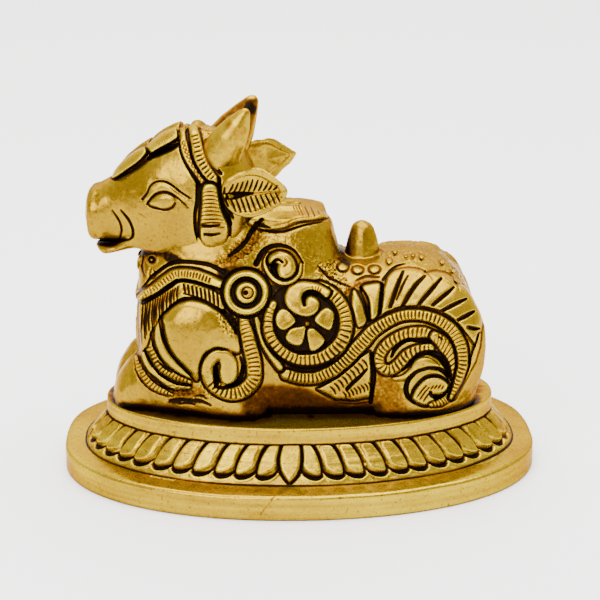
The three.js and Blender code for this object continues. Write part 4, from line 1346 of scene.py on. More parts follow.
def carved_mesh(field, low, high, near, far, front, of_head, cut=None):
    """Meshes a form on a grid twice as fine, with its carving; what lies where cut is above 0 goes."""
    window = window_of(low, high)
    fine = doubled(field[window])
    step = CELL / 2
    start = np.array([AXES[i][window[i].start] for i in range(3)])
    close = np.argwhere(np.abs(fine) < CARVING_REACH)
    edge = np.array(fine.shape) - 1
    slopes = []
    for axis in range(3):
        ahead, behind = close.copy(), close.copy()
        ahead[:, axis] = np.minimum(ahead[:, axis] + 1, edge[axis])
        behind[:, axis] = np.maximum(behind[:, axis] - 1, 0)
        slopes.append(fine[tuple(ahead.T)] - fine[tuple(behind.T)])
    normals = np.stack(slopes, axis=1)
    normals /= np.maximum(np.linalg.norm(normals, axis=1), 1e-6)[:, None]
    points = start + close * step
    raised = read_sheets(points, normals, near, far, front, of_head, "height")
    fine[tuple(close.T)] -= raised + hand_finish(points)
    if cut is not None:
        fine = np.maximum(fine, doubled(cut[window]))
    fine = np.clip(fine, -FIELD_CAP, FIELD_CAP)
    for axis in range(3):
        side = np.moveaxis(fine, axis, 0)
        side[0] = FIELD_CAP
        side[-1] = FIELD_CAP
    grid = openvdb.FloatGrid(FIELD_CAP)
    grid.copyFromArray(fine)
    points, triangles, quads = grid.convertToPolygons(isovalue=0.0, adaptivity=0.0)
    return start + points * step, triangles, quads


def new_mesh(name, points, triangles, quads):
    """A Blender mesh in metres from points in the bull's or the part's millimetres."""
    mesh = bpy.data.meshes.new(name)
    mesh.vertices.add(len(points))
    mesh.vertices.foreach_set("co", (points * MILLIMETRE).astype(np.float32).ravel())
    corners = np.concatenate([np.asarray(triangles).ravel(), np.asarray(quads).ravel()]).astype(np.int32)
    sizes = np.concatenate([np.full(len(triangles), 3), np.full(len(quads), 4)]).astype(np.int32)
    mesh.loops.add(len(corners))
    mesh.loops.foreach_set("vertex_index", corners)
    mesh.polygons.add(len(sizes))
    mesh.polygons.foreach_set("loop_start", np.concatenate([[0], np.cumsum(sizes)[:-1]]).astype(np.int32))
    mesh.update(calc_edges=True)
    mesh.validate()
    return mesh


def new_object(name, mesh):
    """An object with this mesh, in the scene."""
    piece = bpy.data.objects.new(name, mesh)
    bpy.context.scene.collection.objects.link(piece)
    return piece


def thinned(mesh, most):
    """The mesh with fewer triangles where it is smooth."""
    mesh.calc_loop_triangles()
    count = len(mesh.loop_triangles)
    if count <= most:
        return mesh
    piece = new_object("thinning", mesh)
    piece.modifiers.new("thin", "DECIMATE").ratio = most / count
    graph = bpy.context.evaluated_depsgraph_get()
    thin = bpy.data.meshes.new_from_object(piece.evaluated_get(graph))
    bpy.data.objects.remove(piece)
    bpy.data.meshes.remove(mesh)
    return thin


def coordinates(mesh):
    """A mesh's points in millimetres and its normals."""
    points = np.empty(len(mesh.vertices) * 3, np.float32)
    mesh.vertices.foreach_get("co", points)
    normals = np.empty(len(mesh.vertices) * 3, np.float32)
    mesh.vertex_normals.foreach_get("vector", normals)
    points = points.reshape(-1, 3).astype(float) * MILLIMETRES_TO_A_METRE
    return points, normals.reshape(-1, 3).astype(float)


def put_in_part(mesh, points):
    """Moves a mesh from the bull's frame to the part's."""
    mesh.vertices.foreach_set("co", ((points + BULL_PLACE) * MILLIMETRE).astype(np.float32).ravel())
    mesh.update()


def set_patina_and_shade(mesh, soot, rub):
    """Keeps how dark each point is with soot and painted shade, and how rubbed it is, for the material to
    read.
    """
    for name, values in (("soot", soot), ("rub", rub)):
        layer = mesh.attributes.new(name, "FLOAT", "POINT")
        layer.data.foreach_set("value", np.clip(values, 0, 1).astype(np.float32))
    mesh.shade_smooth()


def occlusion_for_shade(points, normals, around):
    """How shut in each point is by the forms round it, from 0 to 1: ambient occlusion that is painted into
    the colour as shade.
    """
    total = np.zeros(len(points), np.float32)
    # How far out it looks, in millimetres, and the share of each look
    for reach, share in ((1.2, 0.25), (2.4, 0.35), (4.8, 0.4)):
        ahead = trilinear(around, points + normals * reach)
        total += share * np.clip(1 - ahead / reach, 0, 1.4)
    return total


# Assembly of the bull

body = body_field()
head = head_field()
ground = AXES[2][None, None, :] + np.zeros_like(body)
around = np.minimum(np.minimum(body, head), ground)

flank = carve_flank(True)
far_flank = carve_flank(False)
cheek = carve_cheek()
chest = carve_chest()


def smooth_across_cut(points, normals):
    """The same normals, but beside the cut between the body's halves they are those of the uncut body."""
    beside = np.abs(points[:, 1] - FAR_SPLIT) < OVERLAP * 2
    place = points[beside]
    ways = np.eye(3) * CELL
    slopes = [trilinear(body, place + way) - trilinear(body, place - way) for way in ways]
    normals[beside] = np.stack(slopes, axis=1)
    return normals / np.maximum(np.linalg.norm(normals, axis=1), 1e-6)[:, None]


def sharp_at_cut(mesh):
    """Keeps the wall left by the cut between the body's halves from bending the light beside it."""
    count = len(mesh.polygons)
    way, middle, corners = np.empty(count * 3), np.empty(count * 3), np.empty(count, int)
    mesh.polygons.foreach_get("normal", way)
    mesh.polygons.foreach_get("center", middle)
    mesh.polygons.foreach_get("loop_total", corners)
    edges = np.empty(len(mesh.loops), int)
    mesh.loops.foreach_get("edge_index", edges)
    side = middle.reshape(-1, 3)[:, 1] * MILLIMETRES_TO_A_METRE
    on_wall = (np.abs(way.reshape(-1, 3)[:, 1]) > 0.95) & (np.abs(side - FAR_SPLIT) < OVERLAP * 1.2)
    walls = np.bincount(edges, np.repeat(on_wall, corners), minlength=len(mesh.edges))
    layer = mesh.attributes.new("sharp_edge", "BOOLEAN", "EDGE")
    layer.data.foreach_set("value", walls == 1)


def bull_piece(name, field, low, high, near, far, front, of_head, most, cut=None):
    """A carved piece of the bull with its patina, black in the cuts, and with painted shade, brown to black
    where forms round it shut it in and where it meets the slab.
    """
    made = carved_mesh(field, low, high, near, far, front, of_head, cut)
    mesh = thinned(new_mesh(name, *made), most)
    points, normals = coordinates(mesh)
    if not of_head:
        normals = smooth_across_cut(points, normals)
        sharp_at_cut(mesh)
    places_read = (points, normals, near, far, front, of_head)
    hollow = read_sheets(*places_read, "hollow") * 1.7 + read_sheets(*places_read, "hollow_wide") * 0.55
    occluded = occlusion_for_shade(points, normals, around)
    # Painted contact shade: darker down to the slab's top, where the bull meets it
    foot = smoothstep(0.9, 0.1, points[:, 2])
    soot = np.maximum(read_sheets(*places_read, "soot"), 0) * 0.9
    soot = np.maximum(soot, foot * 0.9)
    soot = np.maximum(soot, np.clip(hollow, 0, 1) * 0.9)
    # Painted shade: darker where the forms round a point shut it in
    soot = 1 - (1 - np.clip(soot, 0, 1)) * (1 - smoothstep(0.35, 1.1, occluded) * 0.85)
    rub = np.clip(-hollow * 1.6, 0, 1)
    put_in_part(mesh, points)
    set_patina_and_shade(mesh, soot, rub)
    return new_object(name, mesh)


# The body is meshed in three pieces. The far one begins beyond the middle. The two near ones meet in the
# dark ditch round the medallion, which is drawn on the sheet.
FAR_SPLIT = 5.0
OVERLAP = 0.3
FRONT_PART = [
    (40, 2), (345, 2), (344, 244), (340, 254), (333, 263), (328, 273), (332, 283.4), (343, 290.8),
    (350.6, 303), (353.8, 320), (351.2, 337), (343.4, 351), (331, 362.4), (317, 369.6), (300, 371),
    (287, 367), (282.4, 371), (280, 380), (280, 458), (40, 458),
]


def front_part():
    """How far inside the front piece each place of the grid lies, in millimetres."""
    s = Sheet(40, 0, 540, 460)
    window, gap, _, _ = s.inside_gap(FRONT_PART, 400, False)
    s.height[window] = gap[: s.shape[0], : s.shape[1]]
    x, y, z = np.meshgrid(*AXES, indexing="ij")
    return s.sample(s.height, *on_sheet(np.stack([x, y, z], axis=-1))) / SHEET_SCALE


across = AXES[1][None, :, None] + np.zeros_like(body)
beyond_split = across - FAR_SPLIT
in_front = front_part()
body_sheets = (flank, far_flank, chest, False)
near_front = bull_piece(
    "bull_near_front", body, (-37, -18, -1), (12, FAR_SPLIT + 1, 39), *body_sheets, MOST_TRIANGLES,
    np.maximum(beyond_split, -in_front),
)
near_rear = bull_piece(
    "bull_near_rear", body, (-6, -18, -1), (36, FAR_SPLIT + 1, 39), *body_sheets, MOST_TRIANGLES,
    np.maximum(beyond_split, in_front - OVERLAP),
)
far_half = bull_piece(
    "bull_far_flank", body, (-37, FAR_SPLIT - 1, -1), (36, 18, 39), *body_sheets, MOST_TRIANGLES // 2,
    FAR_SPLIT - OVERLAP - across,
)
head_piece = bull_piece(
    "bull_head", head, (-41, -14, 27), (-7, 14, 53), cheek, cheek, None, True, int(MOST_TRIANGLES * 0.7),
)


# Horns and ears, turned with the head


def lofted(rings):
    """Closed rings of points joined in order, with a point at each end."""
    rings = np.array(rings)
    count, sides = rings.shape[:2]
    points = np.vstack([rings.reshape(-1, 3), rings[0].mean(axis=0), rings[-1].mean(axis=0)])
    r, s = np.meshgrid(np.arange(count - 1), np.arange(sides), indexing="ij")
    a = r * sides + s
    b = r * sides + (s + 1) % sides
    quads = np.stack([a, b, b + sides, a + sides], axis=-1).reshape(-1, 4)
    s = np.arange(sides)
    n = (s + 1) % sides
    first = np.stack([n, s, np.full(sides, count * sides)], axis=1)
    top = (count - 1) * sides
    last = np.stack([top + s, top + n, np.full(sides, count * sides + 1)], axis=1)
    return points, np.vstack([first, last]), quads


# How far a horn reaches into the head, as a share of its length
HORN_ROOT = -0.3


def horn(foot, tip, radii):
    """Rings round a straight horn, from below its foot to its tip."""
    axis = tip - foot
    way = axis / np.linalg.norm(axis)
    side = np.cross(way, np.array([0.0, 1.0, 0.0]))
    side /= np.linalg.norm(side)
    out = np.cross(side, way)
    stops = (HORN_ROOT, 0.0, 0.35, 0.67, 0.86, 0.95, 0.985, 1.0)
    angle = np.linspace(0, 2 * math.pi, 72, endpoint=False)
    rings = []
    for part in np.linspace(HORN_ROOT, 1, 60):
        radius = np.interp(part, stops, radii)
        ring = np.cos(angle)[:, None] * side + 0.92 * np.sin(angle)[:, None] * out
        rings.append(foot + axis * part + radius * ring)
    return rings


EAR = (
    (222.6, 183), (231, 175.4), (243.8, 170.4), (255, 167.4), (267.8, 172), (280.5, 181.6), (287.6, 192.2),
    (278.4, 205.6), (260, 215.6), (245, 217.6), (231, 211.4), (222.6, 199),
)
EAR_DEPTH = (-10.0, -10.2, -10.6, -11.4, -12.4, -13.3, -13.9, -13.3, -12.3, -11.6, -10.8, -10.2)
EAR_MIDDLE = (254.0, 192.6)


def ear_sheet():
    """The near ear's near face: a hollow with a midrib and veins on both sides."""
    s = Sheet(215, 155, 300, 228)
    hollow = [
        (226, 190), (231, 181), (243, 176), (256, 175.4), (268, 180), (280, 190), (274, 200), (258, 210.6),
    ]
    s.cushion(hollow + [(243, 212), (232, 206), (227, 198)], -0.5, 6, groove=0, mode="add")
    s.engrave(
        [(222, 196), (236, 196), (252, 194.5), (268, 192.6), (281, 191.8)],
        [5, 6.4, 4, 2.6, 1.2], 0.35, 0.2,
    )
    for turn in range(10):
        u = 229 + 4.9 * turn
        low = 192.4 - 0.25 * turn
        high = 179.6 + 0.9 * abs(turn - 4) ** 1.2
        s.engrave([(u, low), (u + 2.4, (low + high) / 2), (u + 4.2, high)], [1.2, 2.1, 1.2], 0.4, 1.0)
        v = 199.4 - 0.75 * turn
        end = 15.4 - 0.9 * abs(turn - 3)
        s.engrave([(u + 2, v), (u + 5, v + end * 0.55), (u + 7, v + end)], [1.2, 2.1, 1.2], 0.4, 1.0)
    s.engrave([(225, 196.6), (233, 196), (243, 194), (253, 193)], [6.4, 9, 5, 1.6], 0.9)
    s.engrave([(224.6, 188), (224.4, 197), (228, 206)], [2.4, 4, 2.4], 0.3)
    s.finish()
    return s


def near_ear_depth(edge):
    """How far out the near ear's rim lies, round the ear."""
    middle = np.array(EAR_MIDDLE)
    angle = np.arctan2(*(np.array(EAR) - middle).T[::-1])
    order = np.argsort(angle)
    turn = np.arctan2(edge[:, 1] - middle[1], edge[:, 0] - middle[0])
    return np.interp(turn, angle[order], np.array(EAR_DEPTH)[order], period=2 * math.pi)


def far_ear_depth(edge):
    """How far back the far ear's rim lies."""
    return 3.0 + (edge[:, 0] - 241) * 0.165


def ear(outline, depth, middle, middle_y, near_face, far_face, thick):
    """A leaf-shaped ear: rings from the middle of its near face out to the rim and back behind it."""
    edge = spline(outline, True, 0.7)[0]
    sides = 220
    edge = edge[np.linspace(0, len(edge) - 1, sides, endpoint=False).astype(int)]
    middle = np.array(middle)
    rim_y = depth(edge)
    rings, soot = [], []

    def add(part, y, sheet, side):
        place = middle + (edge - middle) * part
        black = np.zeros(sides)
        if sheet is not None:
            y = y + side * sheet.sample(sheet.height, place[:, 0], place[:, 1])
            hollow = np.clip(sheet.sample(sheet.hollow, place[:, 0], place[:, 1]) * 1.6, 0, 1)
            black = np.maximum(sheet.sample(sheet.soot, place[:, 0], place[:, 1]), hollow)
        rings.append(from_sheet(place[:, 0], place[:, 1], y))
        soot.append(black)

    for part in np.linspace(0.02, 1, 64):
        round_off = 0.4 * (1 - math.sqrt(max(0, 1 - max(0, (part - 0.9) / 0.1) ** 2)))
        add(part, middle_y + (rim_y - middle_y) * part**1.6 + round_off, near_face, -1)
    for part in np.linspace(0.99, 0.03, 16 if far_face is None else 64):
        behind = 0.5 + thick * (1 - part**6) - 0.5 * (1 - part**2)
        add(part, middle_y + (rim_y - middle_y) * part**1.6 + behind, far_face, 1)
    return rings, np.concatenate([np.array(soot).ravel(), [0, 0]])


def outward(points, triangles, quads):
    """Faces turned so that the mesh is not inside out."""
    fours = np.asarray(quads)
    whole = np.vstack([np.asarray(triangles), fours[:, [0, 1, 2]], fours[:, [0, 2, 3]]])
    a, b, c = points[whole[:, 0]], points[whole[:, 1]], points[whole[:, 2]]
    if np.einsum("ij,ij->i", a, np.cross(b, c)).sum() < 0:
        triangles, quads = np.asarray(triangles)[:, ::-1], np.asarray(quads)[:, ::-1]
    return points, triangles, quads


# Where the near horn's painted shade falls darkest on the far horn, on the drawing sheet
SHADED_SPOT = (250, 107.5)


def small_piece(name, rings, soot, brown_stain_and_shade):
    """A horn or an ear, brown on its near side by the given amount and darker where the head and body shut
    it in: patina and painted shade. The near side of the browner horn has a black spot beside the near tip,
    painted shade of the near horn with patina.
    """
    mesh = new_mesh(name, *outward(*lofted(rings)))
    points, normals = coordinates(mesh)
    occluded = occlusion_for_shade(points, normals, np.minimum(head, body))
    black = np.zeros(len(points)) if soot is None else soot
    u, v = on_sheet(points)
    to_spot = np.hypot(u - SHADED_SPOT[0], (v - SHADED_SPOT[1]) * 0.8) + 1.2 * lumps(points, (1.0, 1.0, 1.0), 7)
    # Painted shade of the near horn on the far horn, with patina: a black spot beside the near tip
    shaded_spot = 0.9 * smoothstep(11, 3, to_spot) * (brown_stain_and_shade > 0.3)
    stained_and_shaded = (brown_stain_and_shade + 0.08 * lumps(points, (1.2, 1.2, 1.2), 4)) * smoothstep(0.25, 0.75, normals @ BACK)
    stained_and_shaded = np.maximum(stained_and_shaded * (brown_stain_and_shade > 0), shaded_spot * smoothstep(0.35, 0.6, normals @ BACK))
    black = np.maximum(black, stained_and_shaded * smoothstep(96, 100, v))
    # Painted shade where the head and body shut it in
    black = 1 - (1 - black) * (1 - smoothstep(0.25, 0.9, occluded) * 0.7)
    put_in_part(mesh, points)
    set_patina_and_shade(mesh, black, np.full(len(points), 0.3))
    return new_object(name, mesh)


FAR_EAR = (
    (240, 154), (246, 145), (255, 139.6), (262, 139.2), (268, 137.8), (275, 139), (283, 144), (291, 149),
    (296.6, 153.4), (292, 161), (284, 168.6), (275, 177), (262, 182), (250, 180), (241, 168),
)


def far_ear_sheet(strokes):
    """The far ear's plain near face, or its far face with a midrib and strokes."""
    s = Sheet(235, 130, 300, 190)
    hollow = [
        (246, 149), (256, 144.6), (268, 143), (280, 149), (290, 155), (280, 165), (262, 178), (248, 172),
    ]
    s.cushion(hollow, -0.45, 4, groove=0, mode="add")
    if strokes:
        s.engrave([(244, 164), (262, 160), (280, 157), (291, 155)], [4, 5, 3, 1], 0.4, 0.6)
        for turn in range(8):
            u, v = 249 + 5 * turn, 161 - 0.8 * turn
            s.engrave([(u, v - 2), (u + 3, v - 11 + 0.6 * turn)], [1.4, 2, 1.2], 0.35)
            s.engrave([(u, v + 2), (u + 3, v + 13 - 1.2 * turn)], [1.4, 2, 1.2], 0.35)
    s.finish()
    return s


ear_rings, ear_soot = ear(EAR, near_ear_depth, EAR_MIDDLE, -11.4, ear_sheet(), None, 1.9)
far_ear_rings, far_ear_soot = ear(
    FAR_EAR, far_ear_depth, (265.0, 160.0), 7.0, far_ear_sheet(False), far_ear_sheet(True), 1.4,
)
NEAR_HORN = (3.8, 3.8, 3.2, 2.2, 1.3, 0.82, 0.5, 0.12)
FAR_HORN = (4.4, 4.4, 3.6, 2.35, 1.5, 1.0, 0.62, 0.15)
near_horn = horn(from_sheet(222.6, 150.6, -4.8), from_sheet(247.4, 109.0, -6.6), NEAR_HORN)
far_horn = horn(from_sheet(228.0, 141.0, 4.8), from_sheet(255.4, 95.6, 6.6), FAR_HORN)
small = [
    small_piece("horn_near", near_horn, None, 0.12),
    # The far horn is browned most: painted shade of the near horn, partly patina
    small_piece("horn_far", far_horn, None, 0.5),
    small_piece("ear_near", ear_rings, ear_soot, 0),
    small_piece("ear_far", far_ear_rings, far_ear_soot, 0.16),
]


# The base: a slab, a sloping band of lotus petals, a ledge and a lower tier

# Half length, half depth, place of the middle, and the powers that round the front and the back
SLAB_OVAL = (37.5, 20.7, -1.5, 2.0, 2.0)
TIER_OVAL = (46.0, 30.7, 0.0, 2.1, 3.0)
SLAB_HEIGHT, BAND_HEIGHT, TIER_HEIGHT = 3.2, 6.4, 5.2
BAND_RUN, LEDGE_WIDTH, LEDGE_FALL = 4.4, 4.1, 0.4
SLAB_OVERHANG = 0.45
BASE_WIDTH = BAND_RUN + LEDGE_WIDTH
BAND_TOP = TIER_HEIGHT + BAND_HEIGHT
BAND_FOOT = BAND_RUN / BASE_WIDTH
PETALS = 52
# The one whole petal, at the middle of the near side, and the last petal that leans its way
MIDDLE_PETAL = 38
LAST_LEANING_RIGHT = 13
# The band laid flat: units to a petal, and units from its foot to its top
PETAL_UNITS = 21.4
BAND_UNITS = 40
# Kinds of ring round the base
PLAIN, FOOT_LINE, PETAL_BAND, NECK_LINE, SLAB_TOP = range(5)


def oval_point(t, spread):
    """Points of the base's outline: spread is 0 at the slab and 1 at the lower tier."""
    end, side, middle, front, back = (a + (b - a) * spread for a, b in zip(SLAB_OVAL, TIER_OVAL))
    angle = t * 2 * math.pi
    power = np.where(np.sin(angle) < 0, front, back)

    def squared_off(value):
        """A sine or cosine that makes the oval's corners fuller."""
        return np.sign(value) * np.abs(value) ** (2 / power)

    return end * squared_off(np.cos(angle)), middle + side * squared_off(np.sin(angle))


def even_turn(count):
    """Turns at which points lie evenly along the foot of the lotus band."""
    t = np.linspace(0, 1, 20001)
    x, y = oval_point(t, BAND_FOOT)
    run = np.concatenate([[0], np.cumsum(np.hypot(np.diff(x), np.diff(y)))])
    return np.interp(np.arange(count) / count * run[-1], run, t)


def carve_lotus():
    """The band of petals laid flat, with v running down from its top."""
    s = Sheet(-24, -2, PETALS * PETAL_UNITS + 24, BAND_UNITS + 2)
    order = sorted(range(-1, PETALS + 1), key=lambda n: -abs(n - MIDDLE_PETAL))
    for n in order:
        if n % PETALS == MIDDLE_PETAL:
            continue
        right = n % PETALS > MIDDLE_PETAL or n % PETALS < LAST_LEANING_RIGHT
        stray = 0.03 * math.sin(n % PETALS * 2.1) + 0.02 * math.sin(n % PETALS * 5.3)
        size = 1 + 0.12 * math.sin(n % PETALS * 3.7)

        def at(points):
            """Places of a petal: across from 0 to 1, and up the band from 0 to 1."""
            flat = [(a + stray if right else 1 - a - stray, b) for a, b in points]
            return [((n + a) * PETAL_UNITS, (1 - b) * BAND_UNITS) for a, b in flat]

        face = [
            (-0.34, 0.98), (0.5, 0.98), (0.74, 0.84), (0.89, 0.64), (0.95, 0.44), (0.93, 0.29),
            (0.74, 0.25), (0.45, 0.29), (0.2, 0.37), (0.07, 0.5), (-0.01, 0.68), (-0.14, 0.86),
        ]
        s.cushion(at(face), 0.7 * size, 3.0, groove=0)
        s.engrave(at([(0.1, 0.99), (0.0, 0.86), (0.1, 0.7), (0.14, 0.55)]), [1.2, 2.2, 2.2, 1.0], 0.2, 0.25)
        s.engrave(
            at([(0.56, 1.0), (0.8, 0.85), (0.94, 0.65), (1.0, 0.45), (0.985, 0.24)]),
            [4, 3.8, 3.2, 2.6, 2.4], 0.45,
        )
        s.engrave(
            at([(0.03, 0.4), (0.16, 0.29), (0.45, 0.2), (0.76, 0.185), (0.97, 0.23)]),
            [1.6, 3.6, 5, 5.2, 2.6], 0.65,
        )
        rim = at([(0.0, 0.30), (0.16, 0.19), (0.46, 0.12), (0.8, 0.105), (1.04, 0.17)])
        s.engrave(rim, [2.2, 2.6, 2.8, 2.8, 2.4], -0.22 * size, 0.0)
    u = MIDDLE_PETAL * PETAL_UNITS
    lens = [
        (0.1, 0.98), (0.96, 0.98), (1.02, 0.72), (0.95, 0.42), (0.78, 0.24), (0.5, 0.09), (0.26, 0.24),
        (0.05, 0.42), (-0.04, 0.68),
    ]
    lens = [(u + a * PETAL_UNITS, (1 - b) * BAND_UNITS) for a, b in lens]
    s.cushion(lens, 0.7, 3.0, groove=1.8, deep=0.3)
    for side in (
        ((0.05, 0.99), (-0.08, 0.68), (0.02, 0.38), (0.22, 0.2), (0.44, 0.07)),
        ((0.99, 0.99), (1.08, 0.72), (0.98, 0.38), (0.8, 0.2), (0.56, 0.07)),
    ):
        line = [(u + a * PETAL_UNITS, (1 - b) * BAND_UNITS) for a, b in side]
        s.engrave(line, [3.6, 3.8, 3.6, 3.2, 2.2], 0.5)
    s.finish()
    return s


# A faint scratch on the foot of the base, right of the middle of its near side, on the drawing sheet
SCRATCH = ((274, 497), (260, 515))
SCRATCH_DEPTH = 0.06


def on_scratch(points):
    """1 on the scratch and 0 away from it."""
    u, v = on_sheet(points)
    start, end = np.array(SCRATCH, float)
    way = end - start
    along = np.clip(((u - start[0]) * way[0] + (v - start[1]) * way[1]) / (way @ way), 0, 1)
    gap = np.hypot(u - start[0] - along * way[0], v - start[1] - along * way[1])
    return smoothstep(1.5, 0.4, gap) * (points[:, 1] < 0)


def base_rings():
    """The rings from the foot of the base to its top: how far out, how high, how far up the band, kind."""
    rows = []

    def add(distance, z, up=-1.0, kind=PLAIN):
        rows.append((distance, z, up, kind))

    rim = TIER_HEIGHT - LEDGE_FALL
    edge, slab_edge = 0.7, 0.4
    add(BASE_WIDTH - 0.6, 0.0)
    add(BASE_WIDTH - 0.18, 0.06)
    add(BASE_WIDTH, 0.35)
    for z in np.linspace(0.8, rim - edge, 6):
        add(BASE_WIDTH, z)
    for a in np.radians([10, 35, 60, 85]):
        add(BASE_WIDTH - edge * (1 - math.cos(a)), rim - edge + edge * math.sin(a))
    for part in np.linspace(0.26, 0.94, 5):
        add(BASE_WIDTH - LEDGE_WIDTH * part, rim + LEDGE_FALL * part)
    add(BAND_RUN + 0.16, TIER_HEIGHT - 0.02, 0, FOOT_LINE)
    add(BAND_RUN + 0.02, TIER_HEIGHT - 0.14, 0, FOOT_LINE)
    for up in np.linspace(0.0, 1.0, 44):
        add(BAND_RUN * (1 - up) - SLAB_OVERHANG * up, TIER_HEIGHT + BAND_HEIGHT * up, up, PETAL_BAND)
    add(-SLAB_OVERHANG * 0.6, BAND_TOP - 0.02, 0, NECK_LINE)
    add(-0.05, BAND_TOP + 0.02)
    add(0.0, BAND_TOP + 0.22)
    for z in np.linspace(0.5, SLAB_HEIGHT - 0.5, 6):
        add(0.0, BAND_TOP + z)
    for a in np.radians([12, 45, 78]):
        add(-slab_edge * (1 - math.cos(a)), BAND_TOP + SLAB_HEIGHT - slab_edge + slab_edge * math.sin(a))
    for inward in (0.8, 1.6, 2.6, 4.0, 6.0):
        add(-inward, BAND_TOP + SLAB_HEIGHT, 0, SLAB_TOP)
    return (np.array(column, float)[:, None] for column in zip(*rows))


def tool_marks(points):
    """Long low waves along the turned faces and a slightly uneven edge."""
    return lumps(points, (9.0, 9.0, 0.7), 3) * 0.035, lumps(points, (5.0, 5.0, 3.0), 4) * 0.05


def slab_stain_and_shade(inner, height, kind):
    """Brown streaks on the slab's top that grow near the bull, partly stain and partly painted shade, and a
    black line of painted contact shadow where the bull meets it.
    """
    near_bull = np.minimum(trilinear(body, inner + np.array([0, 0, 0.8])), 4).reshape(height.shape)
    near_bull += lumps(inner, (2.5, 2.5, 2.5), 8).reshape(height.shape) * 0.35
    on_top = (kind == SLAB_TOP) | ((kind == PLAIN) & (height > BAND_TOP + SLAB_HEIGHT - 0.1))
    streaks = 0.36 + lumps(inner, (3.5, 0.5, 2.0), 9).reshape(height.shape) * 0.09
    # Brown that grows towards the bull: partly stain and partly painted shade
    brown_stain_and_shade = smoothstep(2.8, 0.8, near_bull) * streaks
    # Painted contact shadow: black where the bull meets the slab
    return np.where(on_top, np.maximum(brown_stain_and_shade, smoothstep(0.9, 0.1, near_bull) * 0.8), 0)


def base_soot_and_shade(lotus, hollow, worn, place, up, height, kind, u, v):
    """Soot on the band and in the line below it, painted shadow at the top of the band, in the line above
    it and along the slab's lower edge, and a darker foot to the tier.
    """
    band = kind == PETAL_BAND
    soot = np.where(band, lotus.sample(lotus.soot, u, v) * (worn**1.5), 0)
    soot = np.maximum(soot, np.clip(hollow, 0, 0.6))
    foot_line = 0.75 + 0.35 * np.sin(place * 0.8) * np.sin(place * 0.27 + 1)
    soot = np.where(band, np.maximum(soot, smoothstep(0.07, 0.0, up) * foot_line * 1.2), soot)
    # Painted shadow under the slab's overhang, at the top of the band
    soot = np.where(band, np.maximum(soot, smoothstep(0.91, 0.97, up) * 0.95), soot)
    soot = np.where(kind == FOOT_LINE, foot_line, soot)
    # Painted shadow line under the slab
    soot = np.where(kind == NECK_LINE, 1.0, soot)
    soot = np.where((kind == PLAIN) & (height < 0.3), 0.4, soot)
    # Painted shade along the slab's lower edge
    return np.where((kind == PLAIN) & (np.abs(height - BAND_TOP - 0.1) < 0.15), 0.5, soot)


def lotus_base():
    """The oval base, from the lower tier to the slab, with its petals, patina, painted shade and tool
    marks.
    """
    columns = PETALS * 22
    turn = even_turn(columns)
    place = (np.arange(columns) / columns * PETALS)[None, :]
    distance, height, up, kind = base_rings()
    lotus = carve_lotus()
    u, v = place * PETAL_UNITS + 0 * up, (1 - up) * BAND_UNITS + 0 * place
    # The petals are worn down to faint lines at the two ends
    from_front = np.abs((place - (MIDDLE_PETAL + 0.5) + PETALS / 2) % PETALS - PETALS / 2)
    worn = 1 - 0.68 * smoothstep(11.2, 13.4, from_front) * smoothstep(19.0, 16.0, from_front)
    band = kind == PETAL_BAND
    edges = smoothstep(1.0, 0.96, up) * smoothstep(-0.01, 0.03, up)
    rise = np.where(band, lotus.sample(lotus.height, u, v) * worn * (0.25 + 0.75 * edges), 0)
    hollow = lotus.sample(lotus.hollow, u, v) * 1.4 + lotus.sample(lotus.hollow_wide, u, v) * 0.4
    hollow = np.where(band, hollow * worn, 0)
    soot = base_soot_and_shade(lotus, hollow, worn, place, up, height, kind, u, v)
    rub = np.where(band, np.clip(0.35 - hollow, 0, 1), 0.35)
    slope = math.atan2(BAND_RUN + SLAB_OVERHANG, BAND_HEIGHT)
    outer = distance + rise * math.cos(slope)
    z = height + rise * math.sin(slope) + 0 * place
    x, y = oval_point(turn[None, :], outer / BASE_WIDTH)
    points = np.stack([x + 0 * z, y + 0 * z, z], axis=-1)
    away = np.stack([x / np.hypot(x, y) + 0 * z, y / np.hypot(x, y) + 0 * z, 0 * z], axis=-1)
    waves, unevenness = tool_marks(points.reshape(-1, 3))
    marks = waves.reshape(z.shape) + unevenness.reshape(z.shape)
    face = ((kind == PLAIN) & (height > 0.2)) | band
    points += away * np.where(face, marks, 0)[..., None]
    scratch = on_scratch(points.reshape(-1, 3) - BULL_PLACE).reshape(z.shape)
    points -= away * scratch[..., None] * SCRATCH_DEPTH
    mesh = new_mesh("lotus_base", *outward(*lofted(points)))
    patina_and_shade_patch = slab_stain_and_shade(points.reshape(-1, 3) - BULL_PLACE, height + 0 * place, kind)
    soot = np.maximum(np.maximum(soot, patina_and_shade_patch), scratch * 0.4)
    # The two last points close the base below and above
    set_patina_and_shade(mesh, np.concatenate([soot.ravel(), [0, 0]]), np.concatenate([rub.ravel(), [0.3, 0.3]]))
    return new_object("lotus_base", mesh)


base = lotus_base()


# Antiqued brass: bright where rubbed, brown with painted shade where sheltered, black with patina in the
# cuts

# Dull, common and bright gold, by how rubbed it is
GOLD = ((0.15, (0.22, 0.122, 0.004)), (0.42, (0.345, 0.22, 0.006)), (0.8, (0.50, 0.375, 0.011)))
# What the patina and the painted shade leave of the gold: clean, brown, dark brown and black
PATINA_AND_SHADE = (
    (0.10, (1, 1, 1)), (0.30, (0.64, 0.46, 0.4)), (0.52, (0.21, 0.11, 0.2)), (0.74, (0.014, 0.009, 0.2)),
)
METAL = ((0.4, (0.88, 0.88, 0.88)), (0.75, (0.1, 0.1, 0.1)))
SPECK_COLOR = (0.32, 0.2, 0.1, 1)
EDGE_TINT = (0.62, 0.44, 0.14, 1)
BUMP_HEIGHT = 0.00025


